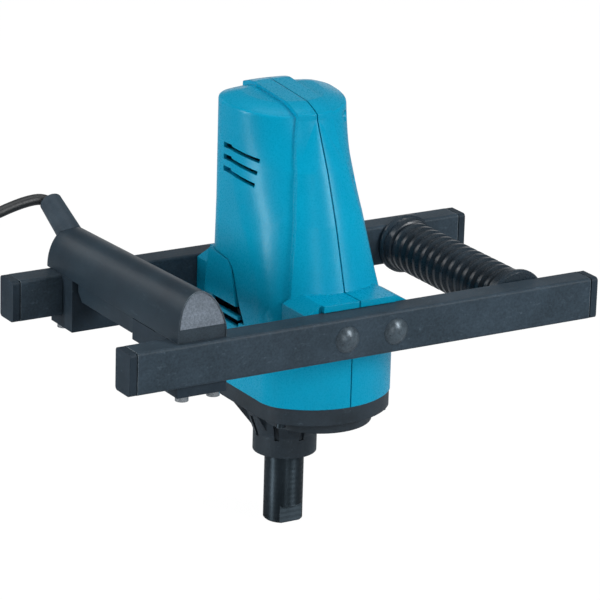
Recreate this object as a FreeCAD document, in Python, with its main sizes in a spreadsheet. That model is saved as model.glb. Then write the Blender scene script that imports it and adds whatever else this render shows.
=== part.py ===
import FreeCAD, Part
import math
import os
from functools import cache
from types import SimpleNamespace

import Sketcher
from FreeCAD import Placement, Rotation, Vector

# Mixing drill with a ladder frame, millimetres.
# The origin is the centre of the spindle's lower end face, +Z runs up the spindle,
# +X runs along the rails and -Y is the front.

SIZES = {
    # Frame of two rails
    "frame_ahead": 16.0, "rail_gap": 151.0, "rail_level": 172.0, "rail_length": 363.0,
    "rail_width": 20.0, "rail_height": 30.0, "rail_wall": 2.0, "rail_corner": 2.2,
    "cap_flange": 5.2, "cap_plug": 14.0, "cap_seam": 0.8, "cap_corner": 2.6, "cap_fit": 0.1,
    "bolt_spread": 39.0, "bolt_head_r": 9.5, "bolt_head_rise": 4.2, "bolt_r": 4.0,
    "bolt_clear": 0.15, "nut_r": 7.5, "nut_height": 6.5, "bolt_tail": 2.0,
    # Motor housing, one set of sizes for each level of its outline
    "housing_wall": 3.0, "seam_gap": 0.8, "skirt_bottom": 112.0, "skirt_top": 150.0,
    "skirt_half": 51.0, "skirt_front": 87.0, "skirt_nose_more": 9.0, "skirt_corner": 28.0,
    "skirt_back": 55.0, "base_level": 193.0, "base_half": 46.0, "base_front": 71.8,
    "base_nose_more": 2.0, "base_corner": 30.0, "waist_level": 237.0, "tower_half": 45.0,
    "waist_front": 58.6, "waist_nose_less": 5.0, "waist_corner": 70.0, "shoulder_level": 273.0,
    "shoulder_front": 45.6, "shoulder_nose_less": 15.0, "shoulder_corner": 72.0,
    "brow_level": 307.2, "brow_front": 29.6, "brow_nose_less": 19.0, "brow_corner": 46.0,
    "roof_slope_deg": 4.9, "roof_edge_r": 2.5, "roof_dome_lift": 4.0, "roof_dome_inset": 13.0,
    "flush": 0.0, "tower_back": 45.0, "tower_back_nose_more": 75.0, "tower_back_corner": 20.0,
    "spine_rise": 2.4, "spine_top": 40.0, "spine_foot_level": 160.0, "spine_foot_half": 40.6,
    "spine_neck_level": 306.0, "spine_neck_half": 14.2, "spine_top_half": 15.5,
    "boss_half": 28.8, "boss_foot_half": 41.0, "boss_bottom": 154.0, "boss_shoulder": 185.5,
    "boss_top": 192.0, "boss_depth": 14.0, "boss_root": 32.0, "boss_lip": 3.5, "boss_lip_gap": 0.3,
    "vent_level": 263.0, "vent_pitch": 8.5, "vent_height": 3.8, "vent_front": 16.5, "vent_back": 18.0,
    "vent_opening": 10.0, "vent_slit": 2.7, "vent_drop": 4.0, "vent_depth": 4.0,
    "vent_reach": 20.0, "vent_count": 3,
    "hood_rise": 0.4, "hood_back": 35.0, "hood_foot": 169.5, "hood_foot_at": -10.0,
    "hood_cheek": 194.0, "hood_cheek_at": 2.4, "hood_crown": 198.6, "hood_crown_at": 7.4,
    "hood_top": 201.0, "hood_corner": 2.0, "hood_groove": 1.2, "hood_line": 0.9,
    "gap_foot": 159.4, "gap_foot_at": -16.0, "gap_foot_width": 7.5, "gap_waist_width": 4.6,
    "gap_cheek_width": 1.0, "gap_lean": 1.2,
    "outlet_back": 24.0, "louvre_top": 163.5, "louvre_bottom": 161.0, "outlet_bottom": 156.5,
    "post_r": 5.0, "post_screw_r": 2.0, "post_head_r": 4.0, "post_head_depth": 3.0,
    "post_low_y": 41.0, "post_low_z": 146.0, "post_front_y": -30.0, "post_front_z": 257.0,
    "post_back_y": 31.0, "post_back_z": 303.0, "post_brow_y": -16.0, "post_brow_z": 300.0,
    "post_screw_length": 40.0, "post_clear": 0.1,
    # Gear case, gear plate and gear cover
    "case_bottom": 53.0, "case_flange_bottom": 100.0, "case_flange_inset": 0.6,
    "case_spigot_top": 120.0, "case_fit": 0.3, "neck_r": 23.0, "neck_top": 68.0,
    "cone_top_r": 35.0, "bulge_r": 39.0, "bulge_bottom": 92.0, "case_floor": 104.0,
    "case_rib": 4.0, "case_rib_reach": 46.0, "case_rib_count": 8, "pocket_width": 3.6,
    "pocket_depth": 1.6, "pocket_bottom": 66.0, "pocket_top": 82.0,
    "plate_height": 8.0, "cover_flange": 5.0, "cover_top": 155.0, "cover_wall": 2.5,
    "cover_room": 1.5, "cover_roof": 142.0, "case_screw_r": 2.0, "case_screw_head_r": 3.5,
    "case_screw_head": 4.0, "case_screw_front_in": 10.0, "case_screw_front_behind": 25.0,
    "case_screw_back_in": 7.0, "case_screw_back_ahead": 31.0, "case_post_r": 4.6,
    "case_post_top": 152.0, "case_screw_reach": 14.0, "case_screw_clear": 0.1,
    # Gear train
    "gear_centres": 42.0, "first_module": 1.2, "first_width": 9.0, "first_bottom": 131.0,
    "second_module": 2.0, "second_width": 12.0, "second_bottom": 106.0, "backlash": 0.12,
    "hub_r": 11.0, "key_fit": 0.02, "lay_collar_r": 8.0, "lay_gear_r": 6.5,
    # Bearings, seal and ring
    "spindle_low_bore": 8.5, "spindle_low_out": 17.5, "spindle_low_width": 10.0,
    "spindle_up_bore": 6.0, "spindle_up_out": 14.0, "spindle_up_width": 8.0,
    "mid_bore": 5.0, "mid_out": 13.0, "mid_width": 8.0, "motor_low_bore": 6.0,
    "motor_low_out": 16.0, "motor_low_width": 10.0, "motor_up_bore": 4.0,
    "motor_up_out": 11.0, "motor_up_width": 7.0, "motor_up_bottom": 290.0,
    "shield_sink": 0.6, "race_wall": 2.2, "running_gap": 0.03, "seat_fit": 0.01,
    "seal_r": 18.5, "seal_width": 5.0, "ring_width": 1.4, "ring_inner_r": 15.5,
    "seal_sink": 0.5, "seal_gap": 0.08,
    # Spindle
    "spindle_r": 14.2, "spindle_gear_r": 9.0, "flat_across": 22.0,
    "flat_height": 13.0, "thread_r": 6.0, "thread_depth": 26.0, "spindle_edge": 1.0,
    "spindle_end_gap": 1.5,
    # Motor
    "shaft_r": 7.0, "core_r": 24.0, "core_bottom": 186.0, "core_height": 56.0, "air_gap": 0.8,
    "field_r": 38.0, "field_bottom": 184.0, "field_height": 60.0, "yoke_wall": 5.5,
    "pole_half_deg": 24.0, "coil_half_deg": 66.0, "coil_overhang": 7.0, "coil_gap": 0.5,
    "winding_r": 21.0, "winding_height": 10.0, "commutator_r": 15.0,
    "commutator_bottom": 263.0, "commutator_height": 17.0, "commutator_slot": 0.8,
    "commutator_slot_depth": 1.2, "commutator_bars": 24, "fan_r": 36.0, "fan_bottom": 157.0,
    "fan_height": 15.0, "fan_plate": 2.5, "fan_blade": 2.0, "fan_blades": 15, "fan_hub_r": 13.0,
    "brush_gap": 0.3, "brush_width": 6.0, "brush_height": 10.0, "brush_length": 16.0,
    "holder_wall": 1.5, "holder_reach": 37.0, "holder_start": 17.0, "brush_rib_top": 265.0,
    "rib_height": 4.0, "rib_sink": 1.5, "baffle_height": 3.0, "baffle_hole_r": 24.0,
    "baffle_r": 39.0, "shaft_end_gap": 1.0, "baffle_drop": 6.5, "field_seat": 4.0,
    "coil_clear": 2.0, "coil_window_deg": 1.5, "shaft_pinion_r": 4.4,
    # Switch handle
    "handle_from_end": 51.0, "handle_half": 18.8, "handle_front_rise": 33.0, "handle_back_rise": 27.0,
    "handle_front": -107.0, "handle_back": 87.0, "handle_wall": 2.8, "handle_front_wall": 11.0,
    "handle_back_wall": 6.0, "handle_back_edge": 6.0, "end_plate_inset": 0.9, "end_plate_depth": 2.0,
    "end_plate_sink": 0.4, "end_plate_foot": 9.5, "end_plate_lean": 5.5,
    "clamp_leg": 15.5, "clamp_foot": 8.0, "clamp_screw_spread": 24.0, "clamp_screw_r": 2.5,
    "clamp_screw_head_r": 4.6, "clamp_screw_head": 4.0, "clamp_screw_rise": 10.0,
    "clamp_clear": 0.2, "screw_pillar_r": 5.0, "clamp_inset": 4.0, "pad_bottom": 171.5,
    "pad_gap": 2.0, "pad_seam": 0.5,
    "trigger_front": -42.0, "trigger_rear": 42.5, "trigger_bottom": 173.0, "trigger_foot": 13.0,
    "trigger_head": 9.0, "trigger_head_half": 12.4, "trigger_side_gap": 1.0, "trigger_edge": 6.0,
    "trigger_pin_y": 35.0, "trigger_pin_z": 191.0, "trigger_pin_r": 2.5,
    "switch_front": -92.0, "switch_back": -46.0, "switch_bottom": 189.0, "switch_half": 9.0,
    "switch_fit": 0.05, "spring_y": 0.0, "spring_r": 4.5, "spring_wire_r": 0.5, "spring_turns": 6,
    "spring_seat": 0.5, "spring_sink": 8.0, "spring_room": 1.2,
    # Cord guard, cord, coil, tie and plug
    "guard_root_y": 74.0, "guard_root_z": 202.4, "guard_rise_deg": 27.0, "guard_length": 45.0,
    "guard_root_r": 9.2, "guard_tip_r": 8.1, "guard_mouth_r": 6.9, "guard_mouth": 7.0,
    "guard_fit": 0.1, "guard_bore_r": 5.2, "cord_r": 4.0, "cord_fit": 0.1, "cord_clamp_width": 8.0,
    "cord_clamp_y": 50.0, "cord_clamp_height": 11.0, "cord_clamp_bottom": 191.9,
    "coil_mean_r": 44.0, "coil_gap_self": 0.8, "coil_tail": 45.0,
    "coil_turns_each": 3.5, "tie_wall": 1.2, "tie_width": 10.0, "tie_gap": 0.3,
    "plug_neck_r": 6.0, "plug_neck": 18.0, "plug_half_wide": 17.0, "plug_half_high": 12.8,
    "plug_length": 34.0, "plug_edge": 4.0, "pin_r": 2.4, "pin_length": 19.0, "pin_spread": 19.0,
    # Plain grip
    "grip_from_end": 48.0, "grip_flange_r": 22.0, "grip_flange": 5.0, "grip_rib_r": 19.0,
    "grip_root_r": 16.8, "grip_rib_count": 14, "grip_tube_r": 13.0, "grip_tube_wall": 2.0,
    "grip_collar_r": 19.6, "grip_collar": 7.0, "grip_edge": 1.5,
    # One overrun serves every cut
    "overrun": 5.0,
}

PRESSURE_DEG = 20.0
FIRST_PINION_TEETH = 10
FIRST_GEAR_TEETH = 60
SECOND_PINION_TEETH = 12
SECOND_GEAR_TEETH = 30
PINION_TIP_SHARE = 1.0
FIRST_GEAR_TIP_SHARE = 0.6
SECOND_GEAR_TIP_SHARE = 0.75
ROOT_SHARE = 1.25
SLOPE_SHARES = (0.0, 0.0, 0.0, 0.2, 0.6, 1.0)
ROOF_EDGE_DEGS = (30.0, 60.0, 90.0)
ROOF_DOME_SHARES = ((0.34, 0.25), (0.62, 0.5), (0.84, 0.75), (1.0, 1.0))
RIB_LAND_SHARES = (0.1, 0.34, 0.66, 0.9)
CORNER_SHARE = 0.45
COIL_DELTA = 1e-4
COIL_SAMPLES = 90

# The cord's free run, chosen by hand, from the handle's middle plane: clamp, guard, then away to the coil
CORD_ROUTE = [
    (0.0, 46.0, 196.8), (0.0, 74.0, 202.4), (0.0, 118.6, 225.1), (-22.0, 119.0, 224.0),
    (-59.5, 117.0, 213.0), (-105.5, 120.0, 182.0), (-125.5, 119.0, 100.0),
    (-126.2, 112.0, 5.8), (-126.2, 30.0, 5.8),
]

UPRIGHT = Rotation()
ALONG_X = Rotation(Vector(0, 1, 0), 90)
ALONG_Y = Rotation(Vector(1, 0, 0), -90)


class Size(float):
    """A number that remembers the formula in the sheet that gave it."""

    def __new__(cls, number, formula):
        made = super().__new__(cls, number)
        made.formula = formula
        return made

    def __add__(self, other):
        return Size(float(self) + float(other), f"({self.formula} + {formula_of(other)})")

    def __radd__(self, other):
        return Size(float(other) + float(self), f"({formula_of(other)} + {self.formula})")

    def __sub__(self, other):
        return Size(float(self) - float(other), f"({self.formula} - {formula_of(other)})")

    def __rsub__(self, other):
        return Size(float(other) - float(self), f"({formula_of(other)} - {self.formula})")

    def __mul__(self, other):
        return Size(float(self) * float(other), f"({self.formula} * {formula_of(other)})")

    __rmul__ = __mul__

    def __truediv__(self, other):
        return Size(float(self) / float(other), f"({self.formula} / {formula_of(other)})")

    def __neg__(self):
        return Size(-float(self), f"(-{self.formula})")


def formula_of(number):
    """The sheet formula of a size, or the plain number where it has none."""
    return number.formula if isinstance(number, Size) else repr(float(number))


def root_of(number):
    """The square root of a size, kept as a formula."""
    return Size(math.sqrt(number), f"sqrt({formula_of(number)})")


doc = FreeCAD.newDocument("mixing_drill")
sheet = doc.addObject("Spreadsheet::Sheet", "Sizes")
for row, (alias, number) in enumerate(SIZES.items(), start=1):
    sheet.set(f"A{row}", alias)
    sheet.set(f"B{row}", str(number))
    sheet.setAlias(f"B{row}", alias)
doc.recompute()
S = SimpleNamespace(**{alias: Size(sheet.get(alias), f"Sizes.{alias}") for alias in SIZES})

nodes = []


# Helpers for document objects bound to the sheet

def bind(thing, **formulas):
    """Bind properties of a document object to formulas of the sheet."""
    for name, number in formulas.items():
        thing.setExpression(name, formula_of(number))
    return thing


def seat(thing, at, turn=UPRIGHT):
    """Turn a document object and bind its place to the sheet."""
    thing.Placement = Placement(Vector(), turn)
    for axis, place in zip("xyz", at):
        thing.setExpression(f"Placement.Base.{axis}", formula_of(place))
    return thing


def cylinder(radius, height, at, turn=UPRIGHT):
    """A cylinder that starts at a point and runs along the turned Z axis."""
    return seat(bind(doc.addObject("Part::Cylinder", "Rod"), Radius=radius, Height=height), at, turn)


def cone(low_radius, high_radius, height, at, turn=UPRIGHT):
    """A cone that starts at a point and runs along the turned Z axis."""
    thing = doc.addObject("Part::Cone", "Taper")
    return seat(bind(thing, Radius1=low_radius, Radius2=high_radius, Height=height), at, turn)


def block(low, high):
    """A box between two corners."""
    thing = doc.addObject("Part::Box", "Block")
    bind(thing, Length=high[0] - low[0], Width=high[1] - low[1], Height=high[2] - low[2])
    return seat(thing, low)


def hexagon(radius, height, at, turn=UPRIGHT):
    """A hexagonal bar that starts at a point."""
    thing = doc.addObject("Part::Prism", "Hexagon")
    thing.Polygon = 6
    return seat(bind(thing, Circumradius=radius, Height=height), at, turn)


def dome(radius, rise, at, turn):
    """A round button head that rises from a flat face."""
    ball_r = (radius * radius + rise * rise) / (2 * rise)
    depth = Vector(*(float(place) for place in at)) - turn.multVec(Vector(0, 0, ball_r - rise))
    ball = doc.addObject("Part::Sphere", "Ball")
    bind(ball, Radius=ball_r)
    ball.Placement = Placement(depth, UPRIGHT)
    thing = doc.addObject("Part::MultiCommon", "Dome")
    thing.Shapes = [ball, cylinder(radius, rise, at, turn)]
    return thing


def joined(*pieces):
    """Pieces made as one solid."""
    thing = doc.addObject("Part::MultiFuse", "Joined")
    thing.Shapes = list(pieces)
    thing.Refine = True
    return thing


def cut(base, *tools):
    """A piece with other pieces taken out of it."""
    thing = doc.addObject("Part::Cut", "Machined")
    thing.Base = base
    thing.Tool = tools[0] if len(tools) == 1 else joined(*tools)
    return thing


def group(*pieces):
    """Loose pieces of one kind that share a node."""
    thing = doc.addObject("Part::Compound", "Group")
    thing.Links = list(pieces)
    return thing


def plain(shape):
    """A piece whose form is worked out from the sheet's values."""
    thing = doc.addObject("Part::Feature", "Formed")
    thing.Shape = shape
    return thing


def node(label, thing):
    """Name a finished piece."""
    thing.Label = label
    nodes.append(thing)
    return thing


def origin_plane(body, role):
    """One of a body's own origin planes."""
    return next(item for item in body.Origin.OriginFeatures if item.Role == role)


def outline_sketch(body, role, points):
    """A closed outline whose corners are all bound to the sheet."""
    sketch = body.newObject("Sketcher::SketchObject", "Outline")
    sketch.AttachmentSupport = [(origin_plane(body, role), "")]
    sketch.MapMode = "FlatFace"
    count = len(points)
    for index in range(count):
        start = Vector(*points[index], 0)
        end = Vector(*points[(index + 1) % count], 0)
        sketch.addGeometry(Part.LineSegment(start, end), False)
    for index in range(count):
        sketch.addConstraint(Sketcher.Constraint("Coincident", index, 2, (index + 1) % count, 1))
    for index, point in enumerate(points):
        for kind, place in zip(("DistanceX", "DistanceY"), point):
            made = sketch.addConstraint(Sketcher.Constraint(kind, -1, 1, index, 1, float(place)))
            sketch.setExpression(f"Constraints[{made}]", formula_of(place))
    return sketch


def turned(profile, at=(0, 0, 0), turn=UPRIGHT):
    """A lathe part from an outline of radius and height."""
    body = doc.addObject("PartDesign::Body", "Turned")
    sketch = outline_sketch(body, "XZ_Plane", profile)
    feature = body.newObject("PartDesign::Revolution", "Revolution")
    feature.Profile = sketch
    feature.ReferenceAxis = (sketch, ["V_Axis"])
    feature.Angle = 360
    return seat(body, at, turn)


def along(edge, axis):
    """True for a straight edge that runs along one axis."""
    if not isinstance(edge.Curve, Part.Line):
        return False
    return abs(abs(edge.Curve.Direction.dot(axis)) - 1) < 1e-6


def eased_block(low, high, radius, axis):
    """A padded block with the edges along one axis, or all of them, rounded."""
    body = doc.addObject("PartDesign::Body", "Eased")
    wide, deep, tall = (end - start for start, end in zip(low, high))
    sketch = outline_sketch(body, "XY_Plane", [(0, 0), (wide, 0), (wide, deep), (0, deep)])
    pad = body.newObject("PartDesign::Pad", "Pad")
    pad.Profile = sketch
    bind(pad, Length=tall)
    doc.recompute()
    edges = enumerate(pad.Shape.Edges, start=1)
    names = [f"Edge{number}" for number, edge in edges if axis is None or along(edge, axis)]
    fillet = body.newObject("PartDesign::Fillet", "Fillet")
    fillet.Base = (pad, names)
    bind(fillet, Radius=radius)
    return seat(body, low)


# Helpers for wire and cord

def bow(start, way, end):
    """An arc from a start and its direction to an end."""
    chord = end - start
    side = way * (chord.dot(chord) / (2 * way.dot(chord))) - chord * 0.5
    lift = chord.Length / 2 * math.tan(chord.getAngle(way) / 2)
    return Part.Arc(start, (start + end) * 0.5 + side.normalize() * lift, end).toShape()


def biarc(start, way_in, end, way_out):
    """Two arcs that leave one point and reach another along given directions."""
    chord = end - start
    spread = 2 * (1 - way_in.dot(way_out))
    lean = 2 * chord.dot(way_in + way_out)
    reach = (math.sqrt(lean ** 2 + 4 * spread * chord.dot(chord)) - lean) / (2 * spread)
    joint = (start + way_in * reach + end - way_out * reach) * 0.5
    return [bow(start, way_in, joint), bow(end, -way_out, joint)]


def wound(point_at, way_at, quarters):
    """The arcs of a winding, from its middle line and direction at each quarter turn."""
    arcs = []
    for index in range(quarters):
        first, second = index * math.pi / 2, (index + 1) * math.pi / 2
        arcs += biarc(point_at(first), way_at(first), point_at(second), way_at(second))
    return arcs


def tube(path, radius, start, way):
    """A round wire or cord along a path of lines and arcs."""
    ring = Part.Wire(Part.makeCircle(float(radius), start, way))
    return Part.Wire(path).makePipeShell([ring], True, False)


# Frame: two rails, their caps and the bolts that hold the motor housing

X_AXIS, Y_AXIS, Z_AXIS = Vector(1, 0, 0), Vector(0, 1, 0), Vector(0, 0, 1)
rail_offset = (S.rail_gap + S.rail_width) / 2
front_rail_y = -S.frame_ahead - rail_offset
back_rail_y = -S.frame_ahead + rail_offset
rail_top = S.rail_level + S.rail_height / 2
rail_foot = S.rail_level - S.rail_height / 2
handle_x = S.handle_from_end - S.rail_length / 2
grip_x = S.rail_length / 2 - S.grip_from_end
clamp_screw_xs = [handle_x - S.clamp_screw_spread / 2, handle_x + S.clamp_screw_spread / 2]
bolt_xs = [-S.bolt_spread / 2, S.bolt_spread / 2]


def rail(label, middle_y):
    """One rectangular tube with its bolt holes and clamp screw holes."""
    half_long, half_wide = S.rail_length / 2, S.rail_width / 2
    outer = eased_block((-half_long, middle_y - half_wide, rail_foot),
                        (half_long, middle_y + half_wide, rail_top), S.rail_corner, X_AXIS)
    room = half_wide - S.rail_wall
    hollow = block((-half_long - S.overrun, middle_y - room, rail_foot + S.rail_wall),
                   (half_long + S.overrun, middle_y + room, rail_top - S.rail_wall))
    bores = [cylinder(S.bolt_r + S.bolt_clear, S.rail_width + 2 * S.overrun,
                      (x, middle_y - half_wide - S.overrun, S.rail_level), ALONG_Y) for x in bolt_xs]
    screw_bores = [cylinder(S.clamp_screw_r + S.clamp_clear, S.rail_height + 2 * S.overrun,
                            (x, middle_y, rail_foot - S.overrun)) for x in clamp_screw_xs]
    return node(label, cut(outer, hollow, *bores, *screw_bores))


def rail_cap(label, side, middle_y):
    """A moulded cap: a flange over the tube's end and a plug inside it."""
    end = side * (S.rail_length / 2)
    flange_ends = sorted((end + side * S.cap_seam, end + side * (S.cap_seam + S.cap_flange)))
    plug_ends = sorted((end + side * S.cap_seam, end - side * S.cap_plug))
    half_wide = S.rail_width / 2
    flange = eased_block((flange_ends[0], middle_y - half_wide, rail_foot),
                         (flange_ends[1], middle_y + half_wide, rail_top), S.cap_corner, X_AXIS)
    room = half_wide - S.rail_wall - S.cap_fit
    lift = S.rail_wall + S.cap_fit
    plug = block((plug_ends[0], middle_y - room, rail_foot + lift),
                 (plug_ends[1], middle_y + room, rail_top - lift))
    return node(label, joined(flange, plug))


rail("front_rail", front_rail_y)
rail("back_rail", back_rail_y)
rail_cap("front_left_cap", -1, front_rail_y)
rail_cap("front_right_cap", 1, front_rail_y)
rail_cap("back_left_cap", -1, back_rail_y)
rail_cap("back_right_cap", 1, back_rail_y)

boss_reach = S.rail_width + S.boss_depth
bolt_length = boss_reach + S.nut_height + S.bolt_tail
bolts, nuts, nut_ys = [], [], {}
for outward, rail_y in ((-1, front_rail_y), (1, back_rail_y)):
    face_y = rail_y + outward * (S.rail_width / 2)
    inward_turn = Rotation(Vector(1, 0, 0), 90 * outward)
    outward_turn = Rotation(Vector(1, 0, 0), -90 * outward)
    nut_y = nut_ys[outward] = face_y - outward * boss_reach
    for x in bolt_xs:
        bolts.append(joined(dome(S.bolt_head_r, S.bolt_head_rise, (x, face_y, S.rail_level), outward_turn),
                            cylinder(S.bolt_r, bolt_length, (x, face_y, S.rail_level), inward_turn)))
        nuts.append(cut(hexagon(S.nut_r, S.nut_height, (x, nut_y, S.rail_level), inward_turn),
                        cylinder(S.bolt_r + S.seat_fit, S.nut_height, (x, nut_y, S.rail_level), inward_turn)))
node("rail_bolts", group(*bolts))
node("rail_bolt_nuts", group(*nuts))


# Motor housing: lofted outlines, a raised spine over the seam, two halves

def half_outline(half, ahead, nose, corner):
    """Tangent point, corner middle and flank end on the right of a rounded end."""
    nose_at = ahead - nose
    reach = abs(nose - corner)
    rise = math.sqrt(reach ** 2 - (half - corner) ** 2)
    corner_at = nose_at - rise if corner > nose else nose_at + rise
    lean = Vector(half - corner, corner_at - nose_at, 0) * (1 if nose > corner else -1)
    lean.normalize()
    tangent = Vector(0, nose_at, 0) + lean * nose
    middle = lean + Vector(1, 0, 0)
    middle.normalize()
    swell = Vector(half - corner, corner_at, 0) + middle * corner
    return tangent, swell, Vector(half, corner_at, 0)


def housing_ring(level, front, back, inset, slope):
    """One level of the housing as a closed wire, front and back given as half, ahead, nose, corner."""
    ahead = half_outline(*(float(size) - inset for size in front))
    behind = half_outline(*(float(size) - inset for size in back))
    tip = float(front[1]) - inset
    tail = float(back[1]) - inset

    def spot(point, side, way):
        return Vector(side * point.x, way * point.y, float(level) + way * point.y * slope)

    def bend(points, side, way):
        return Part.Arc(*(spot(point, side, way) for point in points)).toShape()

    nose = Part.Arc(spot(ahead[0], -1, -1), spot(Vector(0, tip, 0), 1, -1), spot(ahead[0], 1, -1))
    rear = Part.Arc(spot(behind[0], 1, 1), spot(Vector(0, tail, 0), 1, 1), spot(behind[0], -1, 1))
    return Part.Wire([
        nose.toShape(), bend(ahead, 1, -1),
        Part.makeLine(spot(ahead[2], 1, -1), spot(behind[2], 1, 1)), bend(behind[::-1], 1, 1),
        rear.toShape(), bend(behind, -1, 1),
        Part.makeLine(spot(behind[2], -1, 1), spot(ahead[2], -1, -1)), bend(ahead[::-1], -1, -1)])


skirt_nose = S.skirt_half + S.skirt_nose_more
skirt_front = (S.skirt_half, S.skirt_front, skirt_nose, S.skirt_corner)
skirt_back = (S.skirt_half, S.skirt_back, skirt_nose, S.skirt_corner)
base = (S.base_half, S.base_front, S.base_half + S.base_nose_more, S.base_corner)
waist = (S.tower_half, S.waist_front, S.tower_half - S.waist_nose_less, S.waist_corner)
shoulder = (S.tower_half, S.shoulder_front, S.tower_half - S.shoulder_nose_less, S.shoulder_corner)
brow = (S.tower_half, S.brow_front, S.tower_half - S.brow_nose_less, S.brow_corner)
base_rear, tower_rear = ((half, S.tower_back, half + S.tower_back_nose_more, S.tower_back_corner)
                         for half in (S.base_half, S.tower_half))
housing_levels = [
    (S.skirt_bottom, skirt_front, skirt_back), (S.skirt_top, skirt_front, skirt_back),
    (S.base_level, base, base_rear), (S.waist_level, waist, tower_rear),
    (S.shoulder_level, shoulder, tower_rear), (S.brow_level, brow, tower_rear),
]
roof_slope = math.tan(math.radians(S.roof_slope_deg))
roof_steps = [(S.roof_edge_r * math.sin(math.radians(step)),
               S.roof_edge_r * (1 - math.cos(math.radians(step)))) for step in ROOF_EDGE_DEGS]
roof_steps += [(S.roof_edge_r + S.roof_dome_lift * lift, S.roof_edge_r + S.roof_dome_inset * inset)
               for lift, inset in ROOF_DOME_SHARES]


def skirt_prism(inset, low, high):
    """The lower outline of the housing raised straight up."""
    ring = housing_ring(low, skirt_front, skirt_back, float(inset), 0)
    return Part.Face(ring).extrude(Vector(0, 0, float(high - low)))


@cache
def whole(inset):
    """The housing as a solid with a sloping domed roof, all moved in by the inset."""
    rings = [housing_ring(*outline, float(inset), roof_slope * share)
             for outline, share in zip(housing_levels, SLOPE_SHARES)]
    rings += [housing_ring(S.brow_level + lift - inset, brow, tower_rear, float(inset + step), roof_slope)
              for lift, step in roof_steps]
    return Part.makeLoft(rings, True, True)


def box_shape(low, high):
    """A plain box between two corners for forming."""
    low, high = (Vector(*(float(place) for place in corner)) for corner in (low, high))
    size = high - low
    return Part.makeBox(size.x, size.y, size.z, low)


def rod_shape(radius, length, start, way):
    """A plain cylinder for forming."""
    return Part.makeCylinder(float(radius), float(length), Vector(*(float(c) for c in start)), way)


def side_prism(outline, low_x, high_x):
    """A straight block along X from corners in Y and Z."""
    corners = [Vector(float(low_x), float(y), float(z)) for y, z in outline]
    return Part.Face(Part.makePolygon(corners + corners[:1])).extrude(Vector(float(high_x - low_x), 0, 0))


def front_prism(outline, low_y, high_y):
    """A straight block along Y from corners in X and Z."""
    corners = [Vector(float(x), float(low_y), float(z)) for x, z in outline]
    return Part.Face(Part.makePolygon(corners + corners[:1])).extrude(Vector(0, float(high_y - low_y), 0))


def spine():
    """The raised band over the seam: wide at the foot, narrow at the neck, over the roof and down."""
    reach = S.skirt_front + S.skirt_back + S.overrun
    right = [(S.spine_foot_half, S.spine_foot_level), (S.spine_neck_half, S.spine_neck_level),
             (S.spine_top_half, S.brow_level + S.spine_top)]
    left = [(-x, z) for x, z in reversed(right)]
    return whole(-S.spine_rise).common(front_prism(right + left, -reach, reach))


def rail_boss(outward, rail_y, depth):
    """The block that carries the housing on one rail, with flared cheeks and a lip over the rail."""
    face_y = rail_y - outward * (S.rail_width / 2)
    ends = sorted((face_y, face_y - outward * depth))
    right = [(S.boss_foot_half, S.boss_bottom), (S.boss_foot_half, S.boss_shoulder),
             (S.boss_half, S.boss_top)]
    left = [(-x, z) for x, z in reversed(right)]
    lip_ends = sorted((ends[0], ends[1], face_y + outward * S.boss_lip))
    lip = box_shape((-S.boss_half, lip_ends[0], rail_top + S.boss_lip_gap),
                    (S.boss_half, lip_ends[2], S.boss_top))
    return front_prism(right + left, *ends).fuse(lip)


def vent_slots():
    """The intake vents high on the left flank: an opening each, with a slit that falls to the front."""
    outside, mouth = -S.tower_half - S.overrun, S.vent_back - S.vent_opening
    cuts = []
    for index in range(int(S.vent_count)):
        low = S.vent_level + index * S.vent_pitch - S.vent_height / 2
        edge = [(S.vent_back, low), (mouth, low), (-S.vent_front, low - S.vent_drop)]
        over = [(y, z + S.vent_slit) for y, z in reversed(edge)]
        slit = side_prism(edge + over, outside, S.vent_reach - S.tower_half).cut(whole(S.vent_depth))
        opening = box_shape((outside, mouth, low),
                            (2 * S.housing_wall - S.tower_half, S.vent_back, low + S.vent_height))
        cuts += [slit, opening]
    return cuts


def flank_x(level):
    """Half the housing's width across its flat flanks at a level above the skirt."""
    if level < S.base_level:
        share = (level - S.skirt_top) / (S.base_level - S.skirt_top)
        return S.skirt_half + (S.base_half - S.skirt_half) * share
    share = (level - S.base_level) / (S.waist_level - S.base_level)
    return S.base_half + (S.tower_half - S.base_half) * share


def hood_edge():
    """Corners of the hood's front and top edges in Y and Z, from its foot to its back."""
    return [(S.hood_foot_at, S.hood_foot), (S.hood_cheek_at, S.hood_cheek), (S.hood_crown_at, S.hood_crown),
            (S.hood_back - S.hood_corner, S.hood_top), (S.hood_back, S.hood_top - S.hood_corner)]


def hood():
    """The hood low on the left flank, flush with it and square where the flank rounds to the back."""
    inside, outside = S.housing_wall - S.tower_half, -S.skirt_half - S.overrun
    window = side_prism(hood_edge() + [(S.hood_back, S.hood_foot)], outside, inside)
    face = [(-flank_x(level) - S.hood_rise, level) for level in (S.hood_foot, S.base_level, S.hood_top)]
    section = [(inside, S.hood_foot)] + face + [(inside, S.hood_top)]
    return window.common(front_prism(section, -S.skirt_front, S.skirt_back))


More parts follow.
